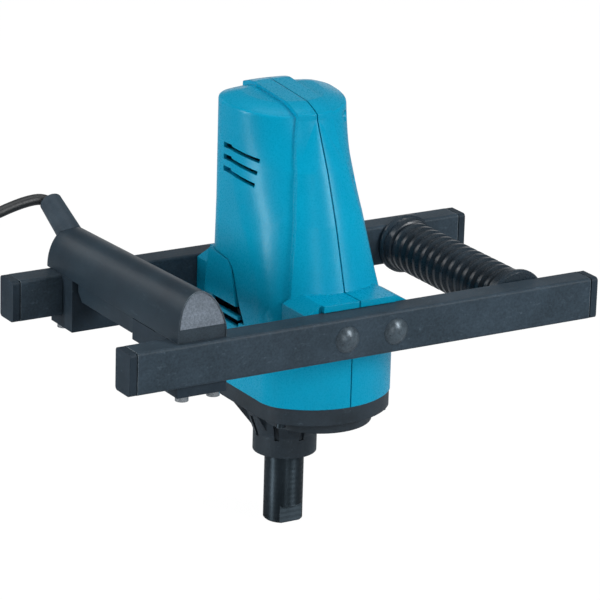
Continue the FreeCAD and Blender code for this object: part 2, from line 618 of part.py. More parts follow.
def outlets():
    """The openings of the left flank: slots under the hood, the gap ahead of it and the line over it."""
    outside, inside = -S.skirt_half - S.hood_rise - S.overrun, 2 * S.housing_wall - S.tower_half
    slots = [box_shape((outside, S.gap_foot_at, low), (inside, S.outlet_back, high))
             for low, high in ((S.louvre_top, S.hood_foot), (S.outlet_bottom, S.louvre_bottom))]
    edge = hood_edge()
    (foot_y, foot_z), (cheek_y, cheek_z) = edge[:2]
    gap_end = (cheek_y - S.gap_cheek_width, cheek_z + S.gap_lean)
    gap = side_prism([(S.gap_foot_at, S.gap_foot), (foot_y, foot_z), (cheek_y, cheek_z), gap_end,
                      (foot_y - S.gap_waist_width, foot_z + S.gap_lean),
                      (S.gap_foot_at - S.gap_foot_width, S.gap_foot + S.gap_lean)], outside, inside)
    over = [gap_end] + [(y, z + S.hood_line) for y, z in edge[2:4]]
    line = side_prism(edge[1:4] + over[::-1], outside, inside).cut(whole(S.hood_groove))
    return slots + [gap, line]


post_spots = [(S.post_low_y, S.post_low_z), (S.post_front_y, S.post_front_z),
              (S.post_back_y, S.post_back_z), (S.post_brow_y, S.post_brow_z)]
front_screw = (S.skirt_half - S.case_screw_front_in, S.case_screw_front_behind - S.skirt_front)
back_screw = (S.skirt_half - S.case_screw_back_in, S.skirt_back - S.case_screw_back_ahead)
case_screw_spots = [(side * x, y) for side in (-1, 1) for x, y in (front_screw, back_screw)]
cover_flange_top = S.case_spigot_top + S.plate_height + S.cover_flange
field_top = S.field_bottom + S.field_height


def rib(inside, bottom, hole_r):
    """A web across the inside of the housing with a round hole."""
    reach = S.skirt_front + S.skirt_back
    slab = box_shape((-reach, -reach, bottom), (reach, reach, bottom + S.rib_height))
    hole = rod_shape(hole_r, S.rib_height + 2 * S.overrun, (0, 0, bottom - S.overrun), Z_AXIS)
    return inside.common(slab).cut(hole)


def housing_shell():
    """The left half of the hollow housing, its skin cut back a little at the seam."""
    reach, top = S.skirt_front + S.skirt_back, S.brow_level + S.spine_top
    skin_side = box_shape((-reach, -reach, 0), (-S.seam_gap / 2, reach, top))
    seam_side = box_shape((-reach, -reach, 0), (0, reach, top))
    rails = ((-1, front_rail_y), (1, back_rail_y))
    swells = [spine(), hood()] + [rail_boss(way, rail_y, S.boss_root) for way, rail_y in rails]
    outer = whole(S.flush).fuse(swells).common(skin_side)
    bosses = [rail_boss(way, rail_y, S.boss_depth).common(skin_side) for way, rail_y in rails]
    inside = whole(S.rib_sink).common(seam_side)
    webs = [rib(inside, S.field_bottom - S.rib_height, S.field_r - S.field_seat),
            rib(inside, field_top - 2 * S.rib_height, S.field_r + S.seat_fit),
            rib(inside, S.brush_rib_top - S.rib_height, S.core_r),
            rib(inside, S.motor_up_bottom + S.rib_height / 2, S.motor_up_out + S.seat_fit)]
    left_spots = [spot for spot in case_screw_spots if spot[0] < 0]
    posts = [rod_shape(S.case_post_r, S.case_post_top - cover_flange_top, (x, y, cover_flange_top), Z_AXIS)
             for x, y in left_spots]
    posts += [rod_shape(S.post_r, S.skirt_half, (0, y, z), -X_AXIS) for y, z in post_spots]
    solid = outer.cut(whole(S.housing_wall)).fuse(bosses + webs + [post.common(inside) for post in posts])
    room = rod_shape(S.field_r + S.seat_fit, S.field_height, (0, 0, S.field_bottom), Z_AXIS)
    bore = rod_shape(S.bolt_r + S.bolt_clear, 2 * S.rail_gap, (bolt_xs[0], -S.rail_gap, S.rail_level), Y_AXIS)
    pilots = [rod_shape(S.case_screw_r + S.case_screw_clear, S.case_screw_reach + S.overrun,
                        (x, y, cover_flange_top), Z_AXIS) for x, y in left_spots]
    pockets = [rod_shape(S.nut_r + S.bolt_clear, boss_reach, (bolt_xs[0], nut_ys[way], S.rail_level),
                         way * -Y_AXIS) for way in (-1, 1)]
    return solid.cut([room, bore] + outlets() + vent_slots() + pilots + pockets)


def seam_bores(side, depth, head):
    """Screw bores into the seam posts of one half, with a sunk head where the screw goes in."""
    way = Vector(side, 0, 0)
    bores = [rod_shape(S.post_screw_r + S.post_clear, depth, (0, y, z), way) for y, z in post_spots]
    sinks = [rod_shape(S.post_head_r + S.post_clear, S.skirt_half, (side * depth, y, z), way)
             for y, z in post_spots if head]
    return bores + sinks


shell = housing_shell()
screw_seat = S.post_screw_length / 2 - S.post_head_depth
node("housing_left", plain(shell.cut(seam_bores(-1, S.post_screw_length / 2, False))))
node("housing_right", plain(shell.mirror(Vector(), X_AXIS).cut(seam_bores(1, screw_seat, True))))
node("housing_screws", group(*(
    joined(cylinder(S.post_screw_r, screw_seat + S.post_screw_length / 2 - S.overrun,
                    (S.overrun - S.post_screw_length / 2, y, z), ALONG_X),
           cylinder(S.post_head_r, S.post_head_depth, (screw_seat, y, z), ALONG_X))
    for y, z in post_spots)))

# Gear case, gear plate and gear cover

mid_at = (0, -S.gear_centres)
fit_inset = S.housing_wall + S.case_fit
plate_top = S.case_spigot_top + S.plate_height
bearing_low = S.case_bottom + S.seal_sink + S.seal_width + S.ring_width
bearing_high = bearing_low + S.spindle_low_width
mid_low = S.case_floor - S.mid_width
first_gear_tip = FIRST_GEAR_TEETH * S.first_module / 2 + FIRST_GEAR_TIP_SHARE * S.first_module
second_gear_tip = SECOND_GEAR_TEETH * S.second_module / 2 + SECOND_GEAR_TIP_SHARE * S.second_module
second_pinion_tip = SECOND_PINION_TEETH * S.second_module / 2 + PINION_TIP_SHARE * S.second_module
first_pinion_tip = FIRST_PINION_TEETH * S.first_module / 2 + PINION_TIP_SHARE * S.first_module


def fin(index):
    """One gusset between the neck and the flange of the gear case."""
    inner, half = S.neck_r - S.case_rib / 2, S.case_rib / 2
    solid = front_prism([(inner, S.neck_top), (S.case_rib_reach, S.case_flange_bottom),
                         (inner, S.case_flange_bottom)], -half, half)
    solid.rotate(Vector(), Z_AXIS, 360 * (index + 1 / 2) / int(S.case_rib_count))
    return plain(solid)


def neck_pocket(index):
    """One recess between the gussets above the collar of the gear case."""
    solid = box_shape((S.neck_r - S.pocket_depth, -S.pocket_width / 2, S.pocket_bottom),
                      (S.cone_top_r, S.pocket_width / 2, S.pocket_top))
    solid.rotate(Vector(), Z_AXIS, 360 * index / int(S.case_rib_count))
    return plain(solid)


case_solid = joined(
    plain(skirt_prism(S.case_flange_inset, S.case_flange_bottom, S.skirt_bottom)),
    plain(skirt_prism(fit_inset, S.skirt_bottom, S.case_spigot_top)),
    cylinder(S.bulge_r, S.case_flange_bottom - S.bulge_bottom, (*mid_at, S.bulge_bottom)),
    cone(S.neck_r, S.cone_top_r, S.case_flange_bottom - S.neck_top, (0, 0, S.neck_top)),
    cylinder(S.neck_r, S.neck_top - S.case_bottom, (0, 0, S.case_bottom)),
    *(fin(index) for index in range(int(S.case_rib_count))))
case_bore_length = S.case_spigot_top - S.case_flange_bottom + 2 * S.overrun
gear_room_height = S.case_spigot_top - S.case_floor + S.overrun
case_bores = [cylinder(S.case_screw_r + S.case_screw_clear, case_bore_length,
                       (x, y, S.case_flange_bottom - S.overrun)) for x, y in case_screw_spots]
node("gear_case", cut(
    case_solid,
    cylinder(second_gear_tip + S.cover_room, gear_room_height, (0, 0, S.case_floor)),
    cylinder(second_pinion_tip + S.cover_room, gear_room_height, (*mid_at, S.case_floor)),
    cylinder(S.mid_out + S.seat_fit, S.mid_width + S.overrun, (*mid_at, mid_low)),
    cylinder(S.seal_r + S.seat_fit, bearing_low - S.case_bottom + S.overrun,
             (0, 0, S.case_bottom - S.overrun)),
    cylinder(S.spindle_low_out + S.seat_fit, S.spindle_low_width, (0, 0, bearing_low)),
    cylinder(S.spindle_low_out - S.race_wall, S.case_floor - bearing_high + S.overrun, (0, 0, bearing_high)),
    *(neck_pocket(index) for index in range(int(S.case_rib_count))), *case_bores))

plate_bores = [cylinder(S.case_screw_r + S.case_screw_clear, S.plate_height + S.cover_flange + 2 * S.overrun,
                        (x, y, S.case_spigot_top - S.overrun)) for x, y in case_screw_spots]
node("gear_plate", cut(
    plain(skirt_prism(fit_inset, S.case_spigot_top, plate_top)),
    cylinder(S.spindle_up_out + S.seat_fit, S.plate_height + 2 * S.overrun,
             (0, 0, S.case_spigot_top - S.overrun)),
    cylinder(S.hub_r, S.plate_height + 2 * S.overrun, (*mid_at, S.case_spigot_top - S.overrun)),
    *plate_bores))

cover_room_r = first_gear_tip + S.cover_room
motor_low_bottom = S.cover_roof + S.cover_wall
cover_solid = joined(
    plain(skirt_prism(fit_inset, plate_top, cover_flange_top)),
    cylinder(cover_room_r + S.cover_wall, motor_low_bottom - plate_top, (*mid_at, plate_top)),
    cylinder(S.mid_out + S.cover_wall, S.mid_width + S.cover_wall, (*mid_at, S.cover_roof)),
    cylinder(S.motor_low_out + S.cover_wall, motor_low_bottom + S.motor_low_width - plate_top,
             (0, 0, plate_top)))
node("gear_cover", cut(
    cover_solid,
    cylinder(cover_room_r, S.cover_roof - plate_top + S.overrun, (*mid_at, plate_top - S.overrun)),
    cylinder(first_pinion_tip + S.cover_room, S.cover_top - plate_top + S.overrun,
             (0, 0, plate_top - S.overrun)),
    cylinder(S.mid_out + S.seat_fit, S.mid_width, (*mid_at, S.cover_roof)),
    cylinder(S.motor_low_out + S.seat_fit, S.motor_low_width + S.overrun, (0, 0, motor_low_bottom)),
    *plate_bores))

screw_foot = S.case_flange_bottom - S.case_screw_head
node("gear_case_screws", group(*(
    joined(cylinder(S.case_screw_head_r, S.case_screw_head, (x, y, screw_foot)),
           cylinder(S.case_screw_r, cover_flange_top + S.case_screw_reach - screw_foot, (x, y, screw_foot)))
    for x, y in case_screw_spots)))


# Bearings, seal and ring

def bearing(label, bore, outer, width, at):
    """A shielded ball bearing: two races and a sunk shield between them."""
    inner_race, outer_race = bore + S.race_wall, outer - S.race_wall
    return node(label, turned([
        (bore, 0), (inner_race, 0), (inner_race, S.shield_sink), (outer_race, S.shield_sink), (outer_race, 0),
        (outer, 0), (outer, width), (outer_race, width), (outer_race, width - S.shield_sink),
        (inner_race, width - S.shield_sink), (inner_race, width), (bore, width)], at))


bearing("spindle_lower_bearing", S.spindle_low_bore, S.spindle_low_out, S.spindle_low_width,
        (0, 0, bearing_low))
bearing("spindle_upper_bearing", S.spindle_up_bore, S.spindle_up_out, S.spindle_up_width,
        (0, 0, S.case_spigot_top))
bearing("layshaft_lower_bearing", S.mid_bore, S.mid_out, S.mid_width, (*mid_at, mid_low))
bearing("layshaft_upper_bearing", S.mid_bore, S.mid_out, S.mid_width, (*mid_at, S.cover_roof))
bearing("motor_lower_bearing", S.motor_low_bore, S.motor_low_out, S.motor_low_width, (0, 0, motor_low_bottom))
bearing("motor_upper_bearing", S.motor_up_bore, S.motor_up_out, S.motor_up_width, (0, 0, S.motor_up_bottom))
seal_foot = S.case_bottom + S.seal_sink
seal_top = seal_foot + S.seal_width
seal_lip_r = S.spindle_r + S.seal_gap
node("oil_seal", turned([(seal_lip_r, seal_foot), (S.seal_r, seal_foot), (S.seal_r, seal_top),
                         (seal_lip_r, seal_top)]))
node("retaining_ring", turned([(S.ring_inner_r, seal_top), (S.seal_r, seal_top), (S.seal_r, bearing_low),
                               (S.ring_inner_r, bearing_low)]))


# Gear train

def gear_shape(module, teeth, tip_share, width, bottom, at, tooth_up):
    """A straight spur gear with involute flanks, one tooth or one gap pointing along +Y."""
    module = float(module)
    pitch_r = module * teeth / 2
    base_r = pitch_r * math.cos(math.radians(PRESSURE_DEG))
    tip_r = pitch_r + tip_share * module
    root_r = pitch_r - ROOT_SHARE * module
    roll = math.tan(math.radians(PRESSURE_DEG)) - math.radians(PRESSURE_DEG)
    half_tooth = (math.pi * module / 2 - float(S.backlash)) / (2 * pitch_r)

    def flank(radius, middle, side):
        spread = math.acos(min(1, base_r / radius))
        angle = middle + side * (half_tooth + roll - (math.tan(spread) - spread))
        return Vector(radius * math.sin(angle), radius * math.cos(angle), 0)

    start_r = max(base_r, root_r)
    mid_r = (start_r + tip_r) / 2
    edges = []
    for index in range(teeth):
        middle = 2 * math.pi * (index + (0 if tooth_up else 1 / 2)) / teeth
        after = middle + math.pi / teeth
        left = [flank(radius, middle, -1) for radius in (start_r, mid_r, tip_r)]
        right = [flank(radius, middle, 1) for radius in (tip_r, mid_r, start_r)]
        next_left = flank(start_r, middle + 2 * math.pi / teeth, -1)
        crest = Vector(tip_r * math.sin(middle), tip_r * math.cos(middle), 0)
        valley = Vector(root_r * math.sin(after), root_r * math.cos(after), 0)
        edges += [Part.Arc(*points).toShape() for points in (left, (left[2], crest, right[0]), right)]
        feet = [right[2], next_left]
        if root_r < base_r:
            dips = [Vector(foot).multiply(root_r / base_r) for foot in feet]
            edges += [Part.makeLine(feet[0], dips[0]), Part.Arc(dips[0], valley, dips[1]).toShape(),
                      Part.makeLine(dips[1], feet[1])]
        else:
            edges.append(Part.Arc(feet[0], valley, feet[1]).toShape())
    solid = Part.Face(Part.Wire(edges)).extrude(Vector(0, 0, float(width)))
    solid.translate(Vector(float(at[0]), float(at[1]), float(bottom)))
    return solid


first_top = S.first_bottom + S.first_width
second_top = S.second_bottom + S.second_width
spindle_top = S.first_bottom - S.spindle_end_gap
shoulder_z = bearing_low - S.shield_sink
low_journal_r, up_journal_r = S.spindle_low_bore - S.running_gap, S.spindle_up_bore - S.running_gap
spindle_body = turned([
    (0, 0), (S.spindle_r - S.spindle_edge, 0), (S.spindle_r, S.spindle_edge), (S.spindle_r, shoulder_z),
    (low_journal_r, shoulder_z), (low_journal_r, S.second_bottom), (S.spindle_gear_r, S.second_bottom),
    (S.spindle_gear_r, second_top), (up_journal_r, second_top), (up_journal_r, spindle_top),
    (0, spindle_top)])
flat_ends = ((-S.spindle_r - S.overrun, -S.flat_across / 2), (S.flat_across / 2, S.spindle_r + S.overrun))
flats = [block((-S.spindle_r, start, -S.overrun), (S.spindle_r, end, S.flat_height))
         for start, end in flat_ends]
thread_bore = cylinder(S.thread_r, S.thread_depth + S.overrun, (0, 0, -S.overrun))
node("spindle", cut(spindle_body, *flats, thread_bore))
node("spindle_gear", cut(
    plain(gear_shape(S.second_module, SECOND_GEAR_TEETH, SECOND_GEAR_TIP_SHARE, S.second_width,
                     S.second_bottom, (0, 0), False)),
    cylinder(S.spindle_gear_r + S.key_fit, S.second_width, (0, 0, S.second_bottom))))

lay_r = S.mid_bore - S.running_gap
lay_shoulder, lay_top = S.case_floor + S.shield_sink, S.cover_roof + S.mid_width
lay_body = turned([
    (0, mid_low), (lay_r, mid_low), (lay_r, lay_shoulder), (S.lay_collar_r, lay_shoulder),
    (S.lay_collar_r, S.first_bottom), (S.lay_gear_r, S.first_bottom), (S.lay_gear_r, first_top),
    (lay_r, first_top), (lay_r, lay_top), (0, lay_top)], (*mid_at, 0))
node("layshaft", joined(lay_body, plain(gear_shape(
    S.second_module, SECOND_PINION_TEETH, PINION_TIP_SHARE, S.second_width, S.second_bottom, mid_at, True))))
node("layshaft_gear", cut(
    plain(gear_shape(S.first_module, FIRST_GEAR_TEETH, FIRST_GEAR_TIP_SHARE, S.first_width, S.first_bottom,
                     mid_at, True)),
    cylinder(S.lay_gear_r + S.key_fit, S.first_width, (*mid_at, S.first_bottom))))


# Motor

shaft_low = motor_low_bottom + S.motor_low_width
shaft_top = S.motor_up_bottom + S.motor_up_width + S.shaft_end_gap
shaft_foot, shaft_collar = S.cover_roof + S.shield_sink, shaft_low + S.shield_sink
shaft_shoulder = S.motor_up_bottom - S.shield_sink
low_end_r, up_end_r = S.motor_low_bore - S.running_gap, S.motor_up_bore - S.running_gap
shaft_body = turned([
    (0, S.first_bottom), (S.shaft_pinion_r, S.first_bottom), (S.shaft_pinion_r, shaft_foot),
    (low_end_r, shaft_foot), (low_end_r, shaft_collar), (S.shaft_r, shaft_collar),
    (S.shaft_r, shaft_shoulder), (up_end_r, shaft_shoulder), (up_end_r, shaft_top), (0, shaft_top)])
node("armature_shaft", joined(shaft_body, plain(gear_shape(
    S.first_module, FIRST_PINION_TEETH, PINION_TIP_SHARE, S.first_width, S.first_bottom, (0, 0), False))))
shaft_bore, core_top = S.shaft_r + S.key_fit, S.core_bottom + S.core_height
node("armature_core", turned([(shaft_bore, S.core_bottom), (S.core_r, S.core_bottom), (S.core_r, core_top),
                              (shaft_bore, core_top)]))


def end_winding(core_face, away):
    """The bundle of wire that swells out of one end of the armature."""
    crest, brow = core_face + away * S.winding_height, core_face + away * (S.winding_height / 2)
    middle = (S.shaft_r + S.winding_r) / 2
    return turned([(shaft_bore, core_face), (S.winding_r, core_face), (S.winding_r, brow), (middle, crest),
                   (shaft_bore, crest)])


node("armature_windings", group(end_winding(S.core_bottom, -1), end_winding(core_top, 1)))

commutator_top = S.commutator_bottom + S.commutator_height
commutator_slots = []
for index in range(int(S.commutator_bars)):
    slot = box_shape((S.commutator_r - S.commutator_slot_depth, -S.commutator_slot / 2,
                      S.commutator_bottom - S.overrun),
                     (S.commutator_r + S.overrun, S.commutator_slot / 2, commutator_top + S.overrun))
    slot.rotate(Vector(), Z_AXIS, 360 * index / int(S.commutator_bars))
    commutator_slots.append(slot)
node("commutator", cut(
    turned([(shaft_bore, S.commutator_bottom), (S.commutator_r, S.commutator_bottom),
            (S.commutator_r, commutator_top), (shaft_bore, commutator_top)]),
    plain(Part.Compound(commutator_slots))))

fan_top, fan_floor = S.fan_bottom + S.fan_height, S.fan_bottom + S.fan_plate
fan_hub = turned([(shaft_bore, S.fan_bottom), (S.fan_r, S.fan_bottom), (S.fan_r, fan_floor),
                  (S.fan_hub_r, fan_floor), (S.fan_hub_r, fan_top), (shaft_bore, fan_top)])
blades = []
for index in range(int(S.fan_blades)):
    blade = box_shape((S.fan_hub_r - S.fan_blade, -S.fan_blade / 2, S.fan_bottom + S.fan_plate / 2),
                      (S.fan_r, S.fan_blade / 2, fan_top))
    blade.rotate(Vector(), Z_AXIS, 360 * index / int(S.fan_blades))
    blades.append(plain(blade))
node("cooling_fan", joined(fan_hub, *blades))


def sector(inner, outer, half_deg, low, high, middle_deg):
    """Part of a ring between two radii, centred on an angle."""
    height = float(high - low)
    solid = Part.makeCylinder(float(outer), height, Vector(0, 0, float(low)), Z_AXIS, 2 * float(half_deg))
    solid = solid.cut(rod_shape(inner, height, (0, 0, low), Z_AXIS))
    solid.rotate(Vector(), Z_AXIS, middle_deg - float(half_deg))
    return solid


yoke_r = S.field_r - S.yoke_wall
yoke = rod_shape(S.field_r, S.field_height, (0, 0, S.field_bottom), Z_AXIS).cut(
    rod_shape(yoke_r, S.field_height, (0, 0, S.field_bottom), Z_AXIS))
POLE_DEGS = (0, 180)
poles = [sector(S.core_r + S.air_gap, yoke_r + S.yoke_wall / 2, S.pole_half_deg, S.field_bottom, field_top,
                middle) for middle in POLE_DEGS]
node("field_core", plain(yoke.fuse(poles).removeSplitter()))
coils = []
for middle in POLE_DEGS:
    bundle = sector(S.core_r + S.coil_clear, yoke_r - S.coil_gap, S.coil_half_deg,
                    S.field_bottom - S.coil_overhang, field_top + S.coil_overhang, middle)
    window = sector(S.core_r, S.field_r, S.pole_half_deg + S.coil_window_deg,
                    S.field_bottom - S.coil_gap, field_top + S.coil_gap, middle)
    coils.append(plain(bundle.cut(window)))
node("field_coils", group(*coils))
baffle_foot = S.field_bottom - S.rib_height - S.baffle_drop
baffle_lip = S.field_r - S.field_seat
node("fan_baffle", turned([
    (S.baffle_hole_r, baffle_foot), (S.baffle_r, baffle_foot), (S.baffle_r, S.field_bottom - S.rib_height),
    (baffle_lip, S.field_bottom - S.rib_height), (baffle_lip, baffle_foot + S.baffle_height),
    (S.baffle_hole_r, baffle_foot + S.baffle_height)]))

brush_level = S.brush_rib_top + S.holder_wall + S.brush_height / 2
wide, tall, room = S.brush_width / 2, S.brush_height / 2, S.seat_fit
holder_half, holder_top = wide + S.holder_wall, brush_level + tall + S.holder_wall
holders, brushes = [], []
for way in (-1, 1):
    start, end = sorted((way * S.holder_start, way * S.holder_reach))
    body = block((start, -holder_half, S.brush_rib_top), (end, holder_half, holder_top))
    start, end = sorted((way * (S.holder_start - S.overrun), way * (S.holder_reach - S.holder_wall)))
    slot = block((start, -wide - room, brush_level - tall - room),
                 (end, wide + room, brush_level + tall + room))
    holders.append(cut(body, slot))
    brush_tip = S.commutator_r + S.brush_gap
    start, end = sorted((way * brush_tip, way * (brush_tip + S.brush_length)))
    brushes.append(block((start, -wide, brush_level - tall), (end, wide, brush_level + tall)))
node("brush_holders", group(*holders))
node("carbon_brushes", group(*brushes))


# Switch handle, its clamps and the trigger

def handle_rise(y):
    """The handle's height over the rails at one place along it."""
    share = (y - S.handle_front) / (S.handle_back - S.handle_front)
    return S.handle_front_rise + (S.handle_back_rise - S.handle_front_rise) * share


def roof_inside(y, aside):
    """The level of the handle's inner roof at one place along it and beside its middle."""
    wide = S.handle_half - S.handle_wall
    return rail_top + (handle_rise(y) - S.handle_wall) * root_of(1 - aside * aside / (wide * wide))


def room_beside(y, z):
    """Half the handle's inner width at one place along it and one level."""
    up = (z - rail_top) / (handle_rise(y) - S.handle_wall)
    return (S.handle_half - S.handle_wall) * root_of(1 - up * up)


def handle_bar(inset, front, back, foot):
    """A tapering bar with a half oval section, moved in by the inset."""
    half, middle, floor = float(S.handle_half - inset), float(handle_x), float(rail_top)
    sections = []
    for y in (float(front), float(back)):
        crown = Vector(middle, y, floor + float(handle_rise(y) - inset))
        oval = Part.Ellipse(crown, Vector(middle + half, y, floor), Vector(middle, y, floor))
        arch = Part.ArcOfEllipse(oval, -math.pi / 2, math.pi / 2).toShape()
        ends = [arch.valueAt(arch.LastParameter), arch.valueAt(arch.FirstParameter)]
        feet = [Vector(end.x, end.y, float(foot)) for end in ends] if foot < rail_top else []
        corners = ends[:1] + feet + ends[1:]
        sections.append(Part.Wire([arch] + [Part.makeLine(*pair) for pair in zip(corners, corners[1:])]))
    return Part.makeLoft(sections, True, True)


def end_slab(near, far):
    """A slab across the handle's front end, upright at the foot and leaning back above it."""
    knee, crown = rail_top + S.end_plate_foot, rail_top + S.handle_front_rise
    back = S.handle_front + S.end_plate_lean
    outline = [(S.handle_front + near, rail_top), (S.handle_front + near, knee), (back + near, crown),
               (back + far, crown), (S.handle_front + far, knee), (S.handle_front + far, rail_top)]
    return side_prism(outline, handle_x - S.handle_half - S.overrun, handle_x + S.handle_half + S.overrun)


def end_bar(inset):
    """The stretch of the handle's bar that the end plate is cut from."""
    return handle_bar(inset, S.handle_front - S.overrun, S.handle_front + S.handle_front_wall, rail_top)


guard_way = Vector(0, math.cos(math.radians(S.guard_rise_deg)), math.sin(math.radians(S.guard_rise_deg)))
guard_root = Vector(float(handle_x), float(S.guard_root_y), float(S.guard_root_z))
guard_turn = Rotation(Z_AXIS, guard_way)
handle_room = handle_bar(S.handle_wall, S.handle_front + S.handle_front_wall,
                         S.handle_back - S.handle_back_wall, rail_top - S.overrun)
handle_inside = handle_bar(S.handle_wall / 2, S.handle_front + S.handle_wall,
                           S.handle_back - S.handle_wall, rail_top)
screw_spots = [(x, y) for x in clamp_screw_xs for y in (front_rail_y, back_rail_y)]
pillars = [rod_shape(S.screw_pillar_r, S.clamp_screw_rise + S.clamp_screw_r, (x, y, rail_top), Z_AXIS)
           for x, y in screw_spots]
pillar_bores = [rod_shape(S.clamp_screw_r + S.seat_fit, S.clamp_screw_rise + S.overrun,
                          (x, y, rail_top - S.overrun), Z_AXIS) for x, y in screw_spots]
pin_start = (handle_x - S.handle_half + S.handle_wall / 2, S.trigger_pin_y, S.trigger_pin_z)
pin_length = 2 * S.handle_half - S.handle_wall
pin_bore = rod_shape(S.trigger_pin_r + S.seat_fit, pin_length, pin_start, X_AXIS)
guard_bore = rod_shape(S.guard_root_r + S.guard_fit, S.guard_length,
                       guard_root - guard_way * float(S.overrun), guard_way)
handle_solid = handle_bar(S.flush, S.handle_front, S.handle_back, rail_top)
back_edge = [edge for edge in handle_solid.Edges if edge.BoundBox.YMin > S.handle_back - S.seat_fit
             and edge.BoundBox.ZMax > rail_top + S.seat_fit]
handle_solid = handle_solid.makeFillet(float(S.handle_back_edge), back_edge)
plate_pocket = end_slab(-S.overrun, S.end_plate_depth).common(end_bar(S.end_plate_inset))
node("handle_shell", plain(
    handle_solid.cut(handle_room).fuse([pillar.common(handle_inside) for pillar in pillars]).cut(
        pillar_bores + [end_slab(-S.handle_half, S.flush), plate_pocket, pin_bore, guard_bore])))
node("handle_end_plate", plain(
    end_slab(S.end_plate_sink, S.end_plate_depth).common(end_bar(S.end_plate_inset + S.cap_fit))))


def channel(profile, low_x, length):
    """A straight piece along X from an outline in Y and Z."""
    body = doc.addObject("PartDesign::Body", "Channel")
    pad = body.newObject("PartDesign::Pad", "Pad")
    pad.Profile = outline_sketch(body, "YZ_Plane", profile)
    bind(pad, Length=length)
    return seat(body, (low_x, 0, 0))


clamp_foot_z = rail_foot - S.clamp_foot
clamp_low_x = handle_x - S.handle_half
for label, inward, rail_y in (("front_clamp", 1, front_rail_y), ("back_clamp", -1, back_rail_y)):
    inner_face = rail_y + inward * (S.rail_width / 2)
    outer_face = rail_y - inward * (S.rail_width / 2 - S.clamp_inset)
    leg_face = inner_face + inward * S.clamp_leg
    body = channel([(outer_face, clamp_foot_z), (leg_face, clamp_foot_z), (leg_face, rail_top),
                    (inner_face, rail_top), (inner_face, rail_foot), (outer_face, rail_foot)],
                   clamp_low_x, 2 * S.handle_half)
    if label == "front_clamp":
        body = joined(body, block((clamp_low_x, inner_face, S.pad_bottom),
                                  (clamp_low_x + 2 * S.handle_half, S.trigger_front - S.pad_gap,
                                   rail_top - S.pad_seam)))
    bores = [cylinder(S.clamp_screw_r + S.clamp_clear, S.clamp_foot + 2 * S.overrun,
                      (x, rail_y, clamp_foot_z - S.overrun)) for x in clamp_screw_xs]
    node(label, cut(body, *bores))
clamp_head_z = clamp_foot_z - S.clamp_screw_head
clamp_screw_length = rail_top + S.clamp_screw_rise - clamp_head_z - S.clamp_clear
node("clamp_screws", group(*(
    joined(cylinder(S.clamp_screw_head_r, S.clamp_screw_head, (x, y, clamp_head_z)),
           cylinder(S.clamp_screw_r, clamp_screw_length, (x, y, clamp_head_z))) for x, y in screw_spots)))

trigger_half = S.handle_half - S.handle_wall - S.trigger_side_gap
nose, half_nose = S.trigger_edge, S.trigger_edge / 3
trigger_neck = S.trigger_bottom + S.trigger_foot
trigger_top = trigger_neck + S.trigger_head
trigger_body = joined(
    channel([(S.trigger_front + nose, S.trigger_bottom), (S.trigger_rear - nose, S.trigger_bottom),
             (S.trigger_rear, S.trigger_bottom + nose), (S.trigger_rear, trigger_neck),
             (S.trigger_front, trigger_neck), (S.trigger_front, S.trigger_bottom + nose),
             (S.trigger_front + half_nose, S.trigger_bottom + half_nose)],
            handle_x - trigger_half, 2 * trigger_half),
    block((handle_x - S.trigger_head_half, S.trigger_front, trigger_neck),
          (handle_x + S.trigger_head_half, S.trigger_rear, trigger_top)))
spring_foot = trigger_top - S.spring_sink
spring_out = S.spring_r + S.spring_wire_r
node("trigger", cut(
    trigger_body,
    cylinder(S.trigger_pin_r + S.running_gap, 2 * S.handle_half,
             (clamp_low_x, S.trigger_pin_y, S.trigger_pin_z), ALONG_X),
    cylinder(spring_out + S.spring_room, S.spring_sink + S.overrun, (handle_x, S.spring_y, spring_foot))))
node("trigger_pin", cylinder(S.trigger_pin_r, pin_length, pin_start, ALONG_X))
spring_low = spring_foot + S.spring_seat / 2 + S.spring_wire_r
spring_high = roof_inside(S.spring_y + spring_out, spring_out) - S.spring_seat - S.spring_wire_r
spring_lead = float(spring_high - spring_low) / (2 * math.pi * int(S.spring_turns))


def spring_point(angle):
    """The middle line of the return spring's wire."""
    reach = float(S.spring_r)
    return Vector(float(handle_x) + reach * math.cos(angle), float(S.spring_y) + reach * math.sin(angle),
                  float(spring_low) + spring_lead * angle)


def spring_way(angle):
    """The direction of the return spring's wire."""
    reach = float(S.spring_r)
    return Vector(-reach * math.sin(angle), reach * math.cos(angle), spring_lead).normalize()


spring_path = wound(spring_point, spring_way, 4 * int(S.spring_turns))
node("trigger_spring", plain(tube(spring_path, S.spring_wire_r, spring_point(0), spring_way(0))))
switch_top = roof_inside(S.switch_back, S.switch_half) - S.switch_fit
node("switch_unit", block((handle_x - S.switch_half, S.switch_front, S.switch_bottom),
                          (handle_x + S.switch_half, S.switch_back, switch_top)))


# Cord guard, cord, coil, tie and plug

node("cord_guard", turned([
    (S.guard_bore_r, 0), (S.guard_root_r, 0), (S.guard_tip_r, S.guard_length),
    (S.guard_mouth_r, S.guard_length), (S.cord_r + S.cord_fit, S.guard_length - S.guard_mouth),
    (S.cord_r + S.cord_fit, S.guard_mouth * 2)], (handle_x, S.guard_root_y, S.guard_root_z), guard_turn))
route = [Vector(float(handle_x) + x, y, z) for x, y, z in CORD_ROUTE]
cord_clamp_top = S.cord_clamp_bottom + S.cord_clamp_height
cord_clamp_end = S.cord_clamp_y + S.cord_clamp_width
clamp_room = room_beside(cord_clamp_end, cord_clamp_top) - S.switch_fit
cord_way = (route[1] - route[0]).normalize()
node("cord_clamp", cut(
    block((handle_x - clamp_room, S.cord_clamp_y, S.cord_clamp_bottom),
          (handle_x + clamp_room, cord_clamp_end, cord_clamp_top)),
    plain(rod_shape(S.cord_r + S.seat_fit, (route[1] - route[0]).Length, route[0], cord_way))))


